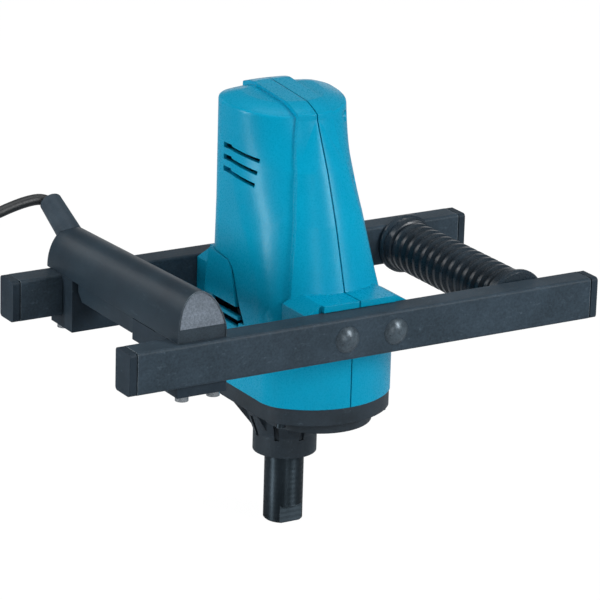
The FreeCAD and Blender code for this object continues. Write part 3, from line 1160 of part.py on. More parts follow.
def rounded_run(points):
    """Straight runs joined by tangent arcs."""
    path, last, radii = [], points[0], []
    for before, corner, after in zip(points, points[1:], points[2:]):
        way_in, way_out = (corner - before).normalize(), (after - corner).normalize()
        half_turn = way_in.getAngle(way_out) / 2
        shorter = min((corner - before).Length, (after - corner).Length)
        radius = CORNER_SHARE * shorter / math.tan(half_turn)
        start, end = corner - way_in * CORNER_SHARE * shorter, corner + way_out * CORNER_SHARE * shorter
        towards = (way_out - way_in).normalize()
        middle = corner + towards * (radius / math.cos(half_turn) - radius)
        path += [Part.LineSegment(last, start).toShape(), Part.Arc(start, middle, end).toShape()]
        last = end
        radii.append(round(radius, 1))
    path.append(Part.LineSegment(last, points[-1]).toShape())
    print("cord bend radii", radii)
    return path


free_run = rounded_run(route)
free_length = sum(edge.Length for edge in free_run)
cord_solid = tube(free_run, S.cord_r, route[0], cord_way)
print("cord volume over section times length",
      round(cord_solid.Volume / (math.pi * float(S.cord_r) ** 2 * free_length), 4))
node("power_cord", plain(cord_solid))

cord_wide = 2 * S.cord_r
coil_step = cord_wide + S.coil_gap_self
inner_r = S.coil_mean_r - S.coil_turns_each * coil_step / 2
outer_r = S.coil_mean_r + S.coil_turns_each * coil_step / 2
coil_start = route[-1] + Vector(0, -float(cord_wide), 0)
coil_at = coil_start - Vector(float(outer_r), 0, 0)
layer_turn = 2 * math.pi * float(S.coil_turns_each)


def coil_point(angle):
    """The coil's middle line: in on the lower layer, up in half a turn, out on the upper layer."""
    rate = float(coil_step) / (2 * math.pi)
    climb = min(max(angle - layer_turn, 0), math.pi)
    inward, outward = min(angle, layer_turn), max(angle - layer_turn - math.pi, 0)
    radius = float(outer_r) - rate * inward - rate * (climb - climb ** 2 / math.pi) + rate * outward
    level = coil_at.z + float(coil_step) * (1 - math.cos(climb)) / 2
    return Vector(coil_at.x + radius * math.cos(angle), coil_at.y - radius * math.sin(angle), level)


def coil_way(angle):
    """The direction of the coil's middle line, square to its radius where the straight cord joins it."""
    if angle == 0:
        return -Y_AXIS
    return (coil_point(angle + COIL_DELTA) - coil_point(angle - COIL_DELTA)).normalize()


coil_end_angle = 2 * layer_turn + math.pi
quarters = int(round(coil_end_angle / (math.pi / 2)))
coil_path = [Part.LineSegment(route[-1], coil_start).toShape()]
coil_path += wound(coil_point, coil_way, quarters)
coil_end, end_way = coil_point(coil_end_angle), coil_way(coil_end_angle)
cord_end = coil_end + end_way * float(S.coil_tail)
coil_path.append(Part.LineSegment(coil_end, cord_end).toShape())
coil_solid = tube(coil_path, S.cord_r, route[-1], -Y_AXIS)
node("cord_coil", plain(coil_solid))
sample_step = 2 * math.pi / COIL_SAMPLES
samples = [coil_point(sample_step * index) for index in range(int(coil_end_angle / sample_step))]
nearest = min((a - b).Length for index, a in enumerate(samples) for b in samples[index + COIL_SAMPLES // 2:])
coil_length = sum(edge.Length for edge in coil_path)
print("coil least gap to itself", round(nearest - float(cord_wide), 2), "volume share",
      round(coil_solid.Volume / (math.pi * float(S.cord_r) ** 2 * coil_length), 4))
print("cord length", round(free_length + coil_length))

tie_inner = inner_r - S.cord_r - coil_step / 2
tie_outer = outer_r + S.cord_r + S.tie_gap
tie_low, tie_high = coil_at.z - S.cord_r - S.tie_gap, coil_at.z + coil_step + S.cord_r + S.tie_gap
tie_x = Size(coil_at.x, repr(coil_at.x))
tie_ends = (tie_x - S.tie_width / 2, tie_x + S.tie_width / 2)
node("cord_tie", cut(
    block((tie_ends[0], coil_at.y - tie_outer - S.tie_wall, tie_low - S.tie_wall),
          (tie_ends[1], coil_at.y - tie_inner + S.tie_wall, tie_high + S.tie_wall)),
    block((tie_ends[0] - S.overrun, coil_at.y - tie_outer, tie_low),
          (tie_ends[1] + S.overrun, coil_at.y - tie_inner, tie_high))))

plug_turn = Rotation(Z_AXIS, end_way)
neck_at = tuple(Size(place, repr(place)) for place in cord_end)
neck = cone(S.plug_neck_r, S.plug_half_high, S.plug_neck, neck_at, plug_turn)
plug_face = cord_end + end_way * float(S.plug_neck + S.plug_length)
sideways = end_way.cross(Z_AXIS).normalize()


def plug_block():
    """The plug's grip, wide and flat, with its long edges rounded."""
    solid = box_shape((-S.plug_half_wide, -S.plug_half_high, 0),
                      (S.plug_half_wide, S.plug_half_high, S.plug_length))
    solid = solid.makeFillet(float(S.plug_edge), [edge for edge in solid.Edges if along(edge, Z_AXIS)])
    solid.Placement = Placement(cord_end + end_way * float(S.plug_neck),
                                Rotation(sideways, Z_AXIS, end_way, "ZXY"))
    return solid


node("plug_body", joined(neck, plain(plug_block())))
node("plug_pins", group(*(
    plain(rod_shape(S.pin_r, S.pin_length, plug_face + sideways * float(way * S.pin_spread / 2), end_way))
    for way in (-1, 1))))

# Plain grip

grip_low = front_rail_y + S.rail_width / 2
grip_tube_in = S.grip_tube_r - S.grip_tube_wall
node("grip_tube", turned([(grip_tube_in, 0), (S.grip_tube_r, 0), (S.grip_tube_r, S.rail_gap),
                          (grip_tube_in, S.rail_gap)], (grip_x, grip_low, S.rail_level), ALONG_Y))
rib_start = S.grip_flange + S.grip_collar
rib_pitch = (S.rail_gap - 2 * rib_start) / int(S.grip_rib_count)
sleeve_bore, edge_r, far = S.grip_tube_r + S.seat_fit, S.grip_flange_r - S.grip_edge, S.rail_gap
profile = [(sleeve_bore, 0), (edge_r, 0), (S.grip_flange_r, S.grip_edge),
           (S.grip_flange_r, S.grip_flange - S.grip_edge), (edge_r, S.grip_flange),
           (S.grip_collar_r, S.grip_flange), (S.grip_collar_r, rib_start)]
for index in range(int(S.grip_rib_count)):
    foot = rib_start + index * rib_pitch
    low, rise, fall, high = (foot + share * rib_pitch for share in RIB_LAND_SHARES)
    profile += [(S.grip_root_r, low), (S.grip_rib_r, rise), (S.grip_rib_r, fall), (S.grip_root_r, high)]
profile += [(S.grip_collar_r, far - rib_start), (S.grip_collar_r, far - S.grip_flange),
            (edge_r, far - S.grip_flange), (S.grip_flange_r, far - S.grip_flange + S.grip_edge),
            (S.grip_flange_r, far - S.grip_edge), (edge_r, far), (sleeve_bore, far)]
node("grip_sleeve", turned(profile, (grip_x, grip_low, S.rail_level), ALONG_Y))

doc.recompute()
failed = [thing.Label for thing in doc.Objects if {"Invalid", "Error"} & set(thing.State)]
broken = [thing.Label for thing in nodes if thing.Shape.isNull() or not thing.Shape.isValid()]
if failed or broken:
    raise RuntimeError(f"failed {failed}, broken {broken}")
os.makedirs("parts", exist_ok=True)
for thing in nodes:
    thing.Shape.exportStep(f"parts/{thing.Label}.step")
    print(thing.Label, len(thing.Shape.Solids), round(thing.Shape.Volume), thing.Shape.BoundBox)
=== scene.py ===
"""Looks of a mixing drill: camera, light, materials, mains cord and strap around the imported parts."""

import logging
import math
from collections.abc import Iterable
from dataclasses import dataclass
from enum import Enum
from functools import cache

import bmesh
import bpy
from mathutils import Matrix, Vector


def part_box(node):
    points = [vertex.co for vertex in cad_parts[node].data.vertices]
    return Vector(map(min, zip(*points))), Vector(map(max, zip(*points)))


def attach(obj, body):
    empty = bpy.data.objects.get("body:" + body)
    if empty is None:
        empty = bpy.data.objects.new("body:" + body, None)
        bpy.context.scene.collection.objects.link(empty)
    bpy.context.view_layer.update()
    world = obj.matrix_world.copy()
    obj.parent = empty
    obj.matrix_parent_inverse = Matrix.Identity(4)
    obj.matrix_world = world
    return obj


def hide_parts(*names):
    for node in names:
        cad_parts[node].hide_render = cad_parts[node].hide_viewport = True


Socket = bpy.types.NodeSocket
Point = tuple[float, float, float]
Colour = tuple[float, float, float, float]

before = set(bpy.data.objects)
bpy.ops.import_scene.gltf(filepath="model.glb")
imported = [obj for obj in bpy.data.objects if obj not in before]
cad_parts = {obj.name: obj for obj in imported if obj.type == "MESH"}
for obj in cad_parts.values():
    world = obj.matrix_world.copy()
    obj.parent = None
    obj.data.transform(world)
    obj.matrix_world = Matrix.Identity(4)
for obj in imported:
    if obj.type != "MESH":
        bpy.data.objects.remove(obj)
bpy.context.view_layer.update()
LOG = logging.getLogger("mixing_drill")
MM = 0.001
FULL_TURN = 2 * math.pi
WHITE: Colour = (1.0, 1.0, 1.0, 1.0)
FIXED_BODY = "frame"

# Blender's numbers for the sockets of a colour mix, and its names for the ends of a range
MIX_SHARE, MIX_FIRST, MIX_SECOND, MIX_RESULT = 0, 6, 7, 2
RANGE = ("From Min", "From Max", "To Min", "To Max")
# Bands that Blender's wave pattern draws in one unit at a scale of one, along an axis and along the diagonal
AXIS_BANDS, DIAGONAL_BANDS = 20 / FULL_TURN, 10 * math.sqrt(3) / FULL_TURN


class Relief(Enum):
    """The fine relief that a making process leaves on a surface."""

    GRAIN = "grain"
    PEEL = "peel"
    TURNED = "turned"
    BRUSHED = "brushed"
    STACKED = "stacked"
    WOUND = "wound"


# Each banded relief's direction, its bands in one unit at a scale of one, and how far they wander
BANDS = {Relief.TURNED: ("Z", AXIS_BANDS, 1.5), Relief.STACKED: ("Z", AXIS_BANDS, 0.2),
         Relief.WOUND: ("DIAGONAL", DIAGONAL_BANDS, 0.2)}
BAND_DETAIL = {"Detail": 2.0, "Detail Scale": 3.0}
# How far brushing draws the grain out along X
BRUSH_STRETCH = (0.05, 1.0, 1.0)
PEEL_DETAIL, GRAIN_DETAIL = 1.0, 4.0
RELIEF_ROUGHNESS = 0.55
BUMP_STRENGTH = 0.6
# Slow changes of colour, and the pattern of rubbed marks
CLOUD_NOISE = {"Detail": 5.0, "Roughness": 0.6}
MARK_NOISE = {"Scale": 1.0, "Detail": 6.0, "Roughness": 0.7}
# Levels that most of a noise pattern lies between
NOISE_SPAN = (0.3, 0.7)
# From the cosine between the rounded and the true normal to how pale an edge is, with its wear and painted
# highlight
EDGE_WEAR_AND_HIGHLIGHT = (0.86, 0.995, 1.0, 0.0)
# From the slow pattern to the share of an edge that is pale with wear and painted highlight
EDGE_BREAK = (0.4, 0.62, 0.15, 1.0)
# From the fine relief to the share of a mark that shows, and the levels over which a mark fades in
MARK_TOPS = (0.35, 0.6, 0.35, 1.0)
MARK_FADE = 0.14
# From the slow pattern to the strength of the painted light on faces that look up, and the upward parts over
# which it fades in
LIT_TOP_THIN = (*NOISE_SPAN, 0.6, 1.0)
LIT_TOP_FADE = 0.1
# Samples for the pale edges, partly rubbed and partly a painted highlight, and for the soft rounding of every
# edge
WEAR_AND_HIGHLIGHT_SAMPLES, EDGE_SAMPLES = 6, 4
# Turn of the stretched highlights from around the axis to along it
ALONG_AXIS = 0.25


def linear(hex_colour: str) -> Colour:
    """Turn an sRGB colour into the linear colour that shaders take, by the sRGB standard's own numbers.

    Args:
        hex_colour: Six hexadecimal digits, with or without a leading mark.

    Returns:
        Red, green, blue and an alpha of one.
    """
    digits = hex_colour.lstrip("#")
    shares = [int(digits[at:at + 2], 16) / 255 for at in (0, 2, 4)]
    red, green, blue = (s / 12.92 if s <= 0.04045 else ((s + 0.055) / 1.055) ** 2.4 for s in shares)
    return red, green, blue, 1.0


class Graph:
    """The nodes of one material or world, filled through one helper."""

    def __init__(self, owner: bpy.types.Material | bpy.types.World) -> None:
        """Start an empty graph.

        Args:
            owner: The material or world that the graph belongs to.
        """
        owner.use_nodes = True
        self.tree = owner.node_tree
        self.tree.nodes.clear()

    def add(self, kind: str, values: dict | None = None, links: dict | None = None,
            **settings: str | int) -> bpy.types.Node:
        """Add one node, set it and link it.

        Args:
            kind: Blender's name of the node type.
            values: Input name or number to a constant.
            links: Input name or number to the output socket that feeds it.
            settings: Properties of the node itself.

        Returns:
            The new node.
        """
        made = self.tree.nodes.new(kind)
        for name, setting in settings.items():
            setattr(made, name, setting)
        for key, value in (values or {}).items():
            made.inputs[key].default_value = value
        for key, source in (links or {}).items():
            self.tree.links.new(source, made.inputs[key])
        return made


@dataclass(frozen=True)
class Finish:
    """One real material with the process that made its surface.

    Attributes:
        name: Material and process, as the maker would say it.
        shade: Darker sRGB colour of the surface.
        light: Lighter sRGB colour of the surface.
        rough: Lowest and highest roughness.
        metal: Share of the surface that is bare metal.
        relief: The process's fine relief.
        pitch_mm: Size of a grain or distance between bands of that relief.
        depth_mm: Height of that relief.
        cloud_mm: Size of the slow colour changes.
        ior: Index of refraction.
        specular: Strength of the surface's reflection.
        tint: sRGB colour of the reflections.
        stretch: How far fine turning marks about Z draw highlights out along Z.
        fleck: How far single grains differ in brightness.
        edge_mm: Radius of the moulded or rolled edges.
        wear_and_highlight: sRGB colour of pale edges, partly rubbed and partly a painted highlight, or None.
        wear_and_highlight_mm: Width of the pale edges.
        wear_and_highlight_ahead_mm: Y that pale edges lie ahead of, or None for all edges.
        scuff: sRGB colour of rubbed marks, or None.
        scuff_mm: Length of a mark along each axis.
        scuff_from: Level of the pattern above which a mark shows.
        lit_top: sRGB colour of painted light on faces that look up, or None.
        lit_top_from: Upward part of a face's normal at which the painted light starts.
    """

    name: str
    shade: str
    light: str
    rough: tuple[float, float]
    metal: float = 0.0
    relief: Relief = Relief.GRAIN
    pitch_mm: float = 0.6
    depth_mm: float = 0.02
    cloud_mm: float = 40.0
    ior: float = 1.5
    specular: float = 0.5
    tint: str = "#FFFFFF"
    stretch: float = 0.0
    fleck: float = 0.0
    edge_mm: float = 0.4
    wear_and_highlight: str | None = None
    wear_and_highlight_mm: float = 0.8
    wear_and_highlight_ahead_mm: float | None = None
    scuff: str | None = None
    scuff_mm: Point = (12.0, 12.0, 12.0)
    scuff_from: float = 0.6
    lit_top: str | None = None
    lit_top_from: float = 0.6

    def relief_of(self, graph: Graph, place: Socket) -> Socket:
        """Make the fine relief.

        Args:
            graph: The graph to fill.
            place: The point on the surface, in metres.

        Returns:
            The height socket.
        """
        per_metre = 1 / (self.pitch_mm * MM)
        if self.relief in BANDS:
            way, in_unit, wander = BANDS[self.relief]
            wave = {"Scale": per_metre / in_unit, "Distortion": wander, **BAND_DETAIL}
            return graph.add("ShaderNodeTexWave", wave, {"Vector": place}, bands_direction=way).outputs["Fac"]
        if self.relief is Relief.BRUSHED:
            drawn = graph.add("ShaderNodeMapping", {"Scale": BRUSH_STRETCH}, {"Vector": place})
            place = drawn.outputs["Vector"]
        detail = PEEL_DETAIL if self.relief is Relief.PEEL else GRAIN_DETAIL
        noise = {"Scale": per_metre, "Detail": detail, "Roughness": RELIEF_ROUGHNESS}
        return graph.add("ShaderNodeTexNoise", noise, {"Vector": place}).outputs["Fac"]

    def wear_and_highlight_mask(self, graph: Graph, cloud: Socket) -> Socket:
        """Find the pale edges, rubbed by hands and benches and partly a painted highlight.

        Args:
            graph: The graph to fill.
            cloud: A slow pattern that breaks the pale edges up.

        Returns:
            One on a pale edge, zero elsewhere.
        """
        soft = graph.add("ShaderNodeBevel", {"Radius": self.wear_and_highlight_mm * MM}, samples=WEAR_AND_HIGHLIGHT_SAMPLES)
        true = graph.add("ShaderNodeNewGeometry")
        same = graph.add("ShaderNodeVectorMath", links={0: soft.outputs["Normal"], 1: true.outputs["Normal"]},
                         operation="DOT_PRODUCT")
        edge = graph.add("ShaderNodeMapRange", dict(zip(RANGE, EDGE_WEAR_AND_HIGHLIGHT)), {"Value": same.outputs["Value"]})
        broken = graph.add("ShaderNodeMapRange", dict(zip(RANGE, EDGE_BREAK)), {"Value": cloud})
        mask = graph.add("ShaderNodeMath", links={0: edge.outputs["Result"], 1: broken.outputs["Result"]},
                         operation="MULTIPLY")
        if self.wear_and_highlight_ahead_mm is None:
            return mask.outputs["Value"]
        along = graph.add("ShaderNodeSeparateXYZ", links={0: true.outputs["Position"]})
        ahead = graph.add("ShaderNodeMath", {1: self.wear_and_highlight_ahead_mm * MM}, {0: along.outputs["Y"]},
                          operation="LESS_THAN")
        return graph.add("ShaderNodeMath", links={0: mask.outputs["Value"], 1: ahead.outputs["Value"]},
                         operation="MULTIPLY").outputs["Value"]

    def scuff_mask(self, graph: Graph, place: Socket, height: Socket) -> Socket:
        """Scatter rubbed marks over the faces.

        Args:
            graph: The graph to fill.
            place: The point on the surface, in metres.
            height: The fine relief, whose tops are rubbed first.

        Returns:
            One in a mark, zero elsewhere.
        """
        per_metre = tuple(1 / (length * MM) for length in self.scuff_mm)
        spot = graph.add("ShaderNodeMapping", {"Scale": per_metre}, {"Vector": place})
        marks = graph.add("ShaderNodeTexNoise", MARK_NOISE, {"Vector": spot.outputs["Vector"]})
        fade = (self.scuff_from, self.scuff_from + MARK_FADE)
        mask = graph.add("ShaderNodeMapRange", dict(zip(RANGE, fade)), {"Value": marks.outputs["Fac"]})
        tops = graph.add("ShaderNodeMapRange", dict(zip(RANGE, MARK_TOPS)), {"Value": height})
        return graph.add("ShaderNodeMath", links={0: mask.outputs["Result"], 1: tops.outputs["Result"]},
                         operation="MULTIPLY").outputs["Value"]

    def lit_top_mask(self, graph: Graph, cloud: Socket) -> Socket:
        """Find the faces that look up, where light from above is painted.

        Args:
            graph: The graph to fill.
            cloud: A slow pattern that makes the painted light patchy.

        Returns:
            One on a face with painted light, zero elsewhere.
        """
        true = graph.add("ShaderNodeNewGeometry")
        facing = graph.add("ShaderNodeSeparateXYZ", links={0: true.outputs["Normal"]})
        fade = (self.lit_top_from, self.lit_top_from + LIT_TOP_FADE)
        up = graph.add("ShaderNodeMapRange", dict(zip(RANGE, fade)), {"Value": facing.outputs["Z"]})
        thin = graph.add("ShaderNodeMapRange", dict(zip(RANGE, LIT_TOP_THIN)), {"Value": cloud})
        return graph.add("ShaderNodeMath", links={0: up.outputs["Result"], 1: thin.outputs["Result"]},
                         operation="MULTIPLY").outputs["Value"]

    def colour_of(self, graph: Graph, place: Socket, height: Socket) -> Socket:
        """Lay the colour, then its painted top light, its marks, its pale edges of wear and painted
        highlight, and its grains.

        Args:
            graph: The graph to fill.
            place: The point on the surface, in metres.
            height: The fine relief.

        Returns:
            The colour socket.
        """
        slow = {"Scale": 1 / (self.cloud_mm * MM), **CLOUD_NOISE}
        cloud = graph.add("ShaderNodeTexNoise", slow, {"Vector": place}).outputs["Fac"]
        blend = graph.add("ShaderNodeMapRange", dict(zip(RANGE, NOISE_SPAN)), {"Value": cloud})
        colour = graph.add("ShaderNodeMix", {MIX_FIRST: linear(self.shade), MIX_SECOND: linear(self.light)},
                           {MIX_SHARE: blend.outputs["Result"]}, data_type="RGBA").outputs[MIX_RESULT]
        # Painted light on faces that look up, rubbed marks, and pale edges that are partly rubbed and partly
        # a painted highlight
        layers = ((self.lit_top, self.lit_top_mask, (cloud,)), (self.scuff, self.scuff_mask, (place, height)),
                  (self.wear_and_highlight, self.wear_and_highlight_mask, (cloud,)))
        for shade, mask_of, patterns in layers:
            if shade:
                mask = mask_of(graph, *patterns)
                colour = graph.add("ShaderNodeMix", {MIX_SECOND: linear(shade)},
                                   {MIX_SHARE: mask, MIX_FIRST: colour}, data_type="RGBA").outputs[MIX_RESULT]
        if self.fleck:
            spread = (*NOISE_SPAN, 1 - self.fleck, 1 + self.fleck)
            grain = graph.add("ShaderNodeMapRange", dict(zip(RANGE, spread)), {"Value": height})
            colour = graph.add("ShaderNodeVectorMath", links={0: colour, 1: grain.outputs["Result"]},
                               operation="MULTIPLY").outputs["Vector"]
        return colour

    @cache
    def material(self) -> bpy.types.Material:
        """Build the material once.

        Returns:
            The finished material.
        """
        made = bpy.data.materials.new(self.name)
        graph = Graph(made)
        place = graph.add("ShaderNodeTexCoord").outputs["Object"]
        height = self.relief_of(graph, place)
        rough = graph.add("ShaderNodeMapRange", dict(zip(RANGE, NOISE_SPAN + self.rough)), {"Value": height})
        soft = graph.add("ShaderNodeBevel", {"Radius": self.edge_mm * MM}, samples=EDGE_SAMPLES)
        bump = graph.add("ShaderNodeBump", {"Strength": BUMP_STRENGTH, "Distance": self.depth_mm * MM},
                         {"Height": height, "Normal": soft.outputs["Normal"]})
        values = {"Metallic": self.metal, "IOR": self.ior, "Specular IOR Level": self.specular,
                  "Specular Tint": linear(self.tint)}
        links = {"Base Color": self.colour_of(graph, place, height), "Roughness": rough.outputs["Result"],
                 "Normal": bump.outputs["Normal"]}
        if self.stretch:
            around = graph.add("ShaderNodeTangent", direction_type="RADIAL", axis="Z")
            values |= {"Anisotropic": self.stretch, "Anisotropic Rotation": ALONG_AXIS}
            links |= {"Tangent": around.outputs["Tangent"]}
        surface = graph.add("ShaderNodeBsdfPrincipled", values, links)
        graph.add("ShaderNodeOutputMaterial", links={"Surface": surface.outputs["BSDF"]})
        return made


# Nylon, moulded in a spark-eroded tool: an even grain that breaks highlights into specks.
# The grain is drawn at 1.1 mm, because 0.3 mm would not show.
TEAL_NYLON = Finish("teal_nylon_moulded", "#008CB0", "#0096BA", (0.22, 0.36), pitch_mm=1.1, depth_mm=0.13,
                    cloud_mm=70, ior=1.53, specular=0.16, tint="#CFF4FF", fleck=0.06, edge_mm=1.0)
# Steel tube, rolled and powder coated: satin, a little rippled, with pale long edges that are partly rubbed
# and partly a painted highlight, and mottled faces
POWDER_COAT = Finish("rail_steel_powder_coated", "#29353E", "#35434E", (0.42, 0.58), relief=Relief.PEEL,
                     pitch_mm=1.6, depth_mm=0.05, cloud_mm=38, specular=0.16, fleck=0.16, edge_mm=0.8,
                     wear_and_highlight="#93A0A9", wear_and_highlight_mm=0.7, scuff="#46545F", scuff_mm=(7.0, 4.0, 3.0), scuff_from=0.58)
# Glass filled nylon, moulded: a dull sheen, and grey specks on the handle's front rim, partly rubbed and
# partly a painted highlight.
# The grain is drawn at 1.2 mm, because 0.3 mm would not show.
BLACK_NYLON = Finish("black_nylon_moulded", "#202B34", "#293741", (0.34, 0.46), pitch_mm=1.2, depth_mm=0.05,
                     cloud_mm=45, ior=1.53, specular=0.16, fleck=0.1, edge_mm=0.8, wear_and_highlight="#7C8A94",
                     wear_and_highlight_mm=1.6, wear_and_highlight_ahead_mm=-92.0, scuff="#3F4D57", scuff_mm=(8.0, 26.0, 6.0),
                     scuff_from=0.6)
# The same nylon drawn a little lighter, with painted light on the faces where the handle's end leans back,
# and a grey grain drawn as coarse as it needs to show
LIT_END_NYLON = Finish("end_nylon_painted_light", "#28323A", "#323E47", (0.52, 0.70), pitch_mm=1.3, depth_mm=0.08,
                    cloud_mm=16, ior=1.53, specular=0.2, fleck=0.3, lit_top="#6E7883", lit_top_from=0.08)
# Nylon, moulded plain: dull and dark, with a few pale rubs.
# The grain is drawn at 1 mm, because 0.3 mm would not show.
CAP_NYLON = Finish("cap_nylon_moulded", "#1F2A33", "#2A3640", (0.42, 0.58), pitch_mm=1.0, depth_mm=0.04,
                   cloud_mm=30, ior=1.53, specular=0.12, fleck=0.12, edge_mm=0.6, scuff="#45525C",
                   scuff_mm=(6.0, 6.0, 4.0), scuff_from=0.62)
# Rubber, moulded: soft lights on the crests that hands have polished.
# The grain is drawn at 0.9 mm, because 0.2 mm would not show.
GRIP_RUBBER = Finish("grip_rubber_moulded", "#18232B", "#24313B", (0.24, 0.36), pitch_mm=0.9, depth_mm=0.03,
                     cloud_mm=25, ior=1.52, specular=0.4, fleck=0.1)
# Aluminium, die cast and painted: a grainy satin black.
# The grain is drawn at 1.3 mm, because 0.5 mm would not show.
CASE_PAINT = Finish("gear_case_cast_painted", "#1C262D", "#26313A", (0.36, 0.54), pitch_mm=1.3, depth_mm=0.1,
                    cloud_mm=22, specular=0.3, fleck=0.16, edge_mm=0.8, scuff="#3D4A54",
                    scuff_mm=(9.0, 9.0, 5.0), scuff_from=0.6)
# Aluminium, die cast and bare: a pale dull grey inside the gear case
BARE_CAST = Finish("cast_aluminium_bare", "#9A9C9E", "#B4B5B7", (0.38, 0.55), metal=1.0, pitch_mm=1.2,
                   depth_mm=0.05)
# Steel, turned and blackened: dark, with lights drawn out along the axis.
# The turning marks are drawn 3.8 mm apart, because 0.2 mm would not show.
BLACK_STEEL = Finish("blackened_steel_turned", "#30393F", "#3E484F", (0.40, 0.52), metal=1.0,
                     relief=Relief.TURNED, pitch_mm=3.77, depth_mm=0.004, cloud_mm=18, stretch=0.8,
                     fleck=0.05, wear_and_highlight="#7B858C", wear_and_highlight_mm=0.5)
# Steel, pressed and phosphated: a dark grainy dome with one soft light.
# The crystals are drawn at 1.4 mm, because 0.1 mm would not show.
BOLT_STEEL = Finish("bolt_steel_phosphated", "#38434B", "#4F5C65", (0.26, 0.40), metal=0.3, pitch_mm=1.4,
                    depth_mm=0.05, cloud_mm=6, specular=0.4, fleck=0.3)
# Steel, zinc plated: pale grey, dulled by use
ZINC_STEEL = Finish("steel_zinc_plated", "#85898C", "#A6AAAD", (0.24, 0.40), metal=1.0, relief=Relief.PEEL,
                    pitch_mm=0.8, depth_mm=0.01, cloud_mm=9)
# Steel, hardened and ground: fine straight scratches, drawn at 0.3 mm because real ones are finer still
GROUND_STEEL = Finish("gear_steel_ground", "#7E8184", "#A2A5A8", (0.25, 0.40), metal=1.0,
                      relief=Relief.BRUSHED, pitch_mm=0.3, depth_mm=0.008, cloud_mm=20)
# Steel, polished: bright rings, with marks drawn 1.9 mm apart so that they show
BEARING_STEEL = Finish("bearing_steel_polished", "#A3A6A9", "#C2C4C6", (0.14, 0.26), metal=1.0,
                       relief=Relief.TURNED, pitch_mm=1.885, depth_mm=0.004, cloud_mm=15)
# Sheet steel, stacked: dark stripes, drawn 3.1 mm apart because 0.5 mm sheets would not show
LAMINATIONS = Finish("sheet_steel_stacked", "#53565A", "#6B6E72", (0.35, 0.5), metal=0.9,
                     relief=Relief.STACKED, pitch_mm=3.142, depth_mm=0.05, cloud_mm=12)
# Copper wire, wound and varnished: a red-brown shine in slanting rows.
# The rows are drawn 5.8 mm apart, because 0.8 mm would not show.
COPPER_WIRE = Finish("copper_wire_varnished", "#8A3F1C", "#B4612F", (0.25, 0.4), metal=0.8,
                     relief=Relief.WOUND, pitch_mm=5.804, depth_mm=0.15, cloud_mm=10)
# Carbon, pressed: an even matt black
CARBON = Finish("carbon_pressed", "#151617", "#222426", (0.5, 0.65), pitch_mm=0.3)
# Nitrile, moulded: a smooth black lip
SEAL_RUBBER = Finish("nitrile_moulded", "#111213", "#1A1C1D", (0.4, 0.5), pitch_mm=0.4, depth_mm=0.01,
                     ior=1.52)
# Rubber, extruded: a dull black sheath, its grain drawn as coarse as it needs to show
CORD_RUBBER = Finish("cord_rubber_extruded", "#14181B", "#1C2124", (0.40, 0.55), pitch_mm=0.9, depth_mm=0.03,
                     cloud_mm=20, ior=1.52, fleck=0.1)
# Rubber, moulded: greyed by handling where the cord leaves the handle.
# The grain is drawn at 0.9 mm, because 0.2 mm would not show.
GUARD_RUBBER = Finish("guard_rubber_moulded", "#2E3942", "#3C4852", (0.45, 0.60), pitch_mm=0.9, depth_mm=0.03,
                      cloud_mm=20, ior=1.52, specular=0.15, fleck=0.15)
# Nylon, woven: a dull strap in slanting rows, drawn 5.1 mm apart because 0.7 mm would not show
TIE_WEBBING = Finish("tie_nylon_woven", "#17191B", "#25282B", (0.75, 0.9), relief=Relief.WOUND,
                     pitch_mm=5.079, depth_mm=0.15, ior=1.53)
# Brass, nickel plated: bright and a little warm
NICKEL_BRASS = Finish("brass_nickel_plated", "#B9B6AC", "#D2CFC6", (0.18, 0.3), metal=1.0, relief=Relief.PEEL,
                      pitch_mm=0.6, depth_mm=0.006, cloud_mm=8)


def paint(names: Iterable[str], finish: Finish) -> None:
    """Give CAD nodes their material.

    Args:
        names: The nodes.
        finish: Their finish.
    """
    for name in names:
        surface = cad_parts[name].data.materials
        surface.clear()
        surface.append(finish.material())
        LOG.info("painted %s with %s", name, finish.name)


def place_piece(piece: bpy.types.Object) -> None:
    """Put a new piece of the cord into the scene.

    Args:
        piece: The new object.
    """
    bpy.context.scene.collection.objects.link(piece)
    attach(piece, FIXED_BODY)
    LOG.info("built %s on %s", piece.name, FIXED_BODY)


@dataclass(frozen=True)
class Motor:
    """Motor housing, gear case and everything inside them."""

    def dress(self) -> None:
        """Paint the housing, the gear case and the drive."""
        paint(["housing_left", "housing_right"], TEAL_NYLON)
        paint(["gear_case"], CASE_PAINT)
        paint(["gear_plate", "gear_cover"], BARE_CAST)
        paint(["spindle", "gear_case_screws"], BLACK_STEEL)
        paint(["layshaft", "layshaft_gear", "spindle_gear", "armature_shaft"], GROUND_STEEL)
        paint([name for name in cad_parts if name.endswith("_bearing")], BEARING_STEEL)
        paint(["armature_core", "field_core"], LAMINATIONS)
        paint(["armature_windings", "field_coils", "commutator"], COPPER_WIRE)
        paint(["carbon_brushes"], CARBON)
        paint(["oil_seal"], SEAL_RUBBER)
        paint(["cooling_fan", "fan_baffle", "brush_holders"], CAP_NYLON)
        paint(["housing_screws", "retaining_ring"], ZINC_STEEL)


@dataclass(frozen=True)
class LadderFrame:
    """The two rails with their caps and bolts, and the plain grip."""

    def dress(self) -> None:
        """Paint the rails, caps, bolts and grip."""
        paint(["front_rail", "back_rail"], POWDER_COAT)
        paint([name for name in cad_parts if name.endswith("_cap")], CAP_NYLON)
        paint(["rail_bolts"], BOLT_STEEL)
        paint(["rail_bolt_nuts", "grip_tube"], ZINC_STEEL)
        paint(["grip_sleeve"], GRIP_RUBBER)


@dataclass(frozen=True)
class SwitchHandle:
    """The handle with the switch, its clamps and its trigger."""

    def dress(self) -> None:
        """Paint the handle and what is in it."""
        paint(["handle_shell", "trigger"], BLACK_NYLON)
        paint(["handle_end_plate"], LIT_END_NYLON)
        paint(["front_clamp", "back_clamp", "switch_unit", "cord_clamp"], CAP_NYLON)
        paint(["clamp_screws", "trigger_pin", "trigger_spring"], ZINC_STEEL)


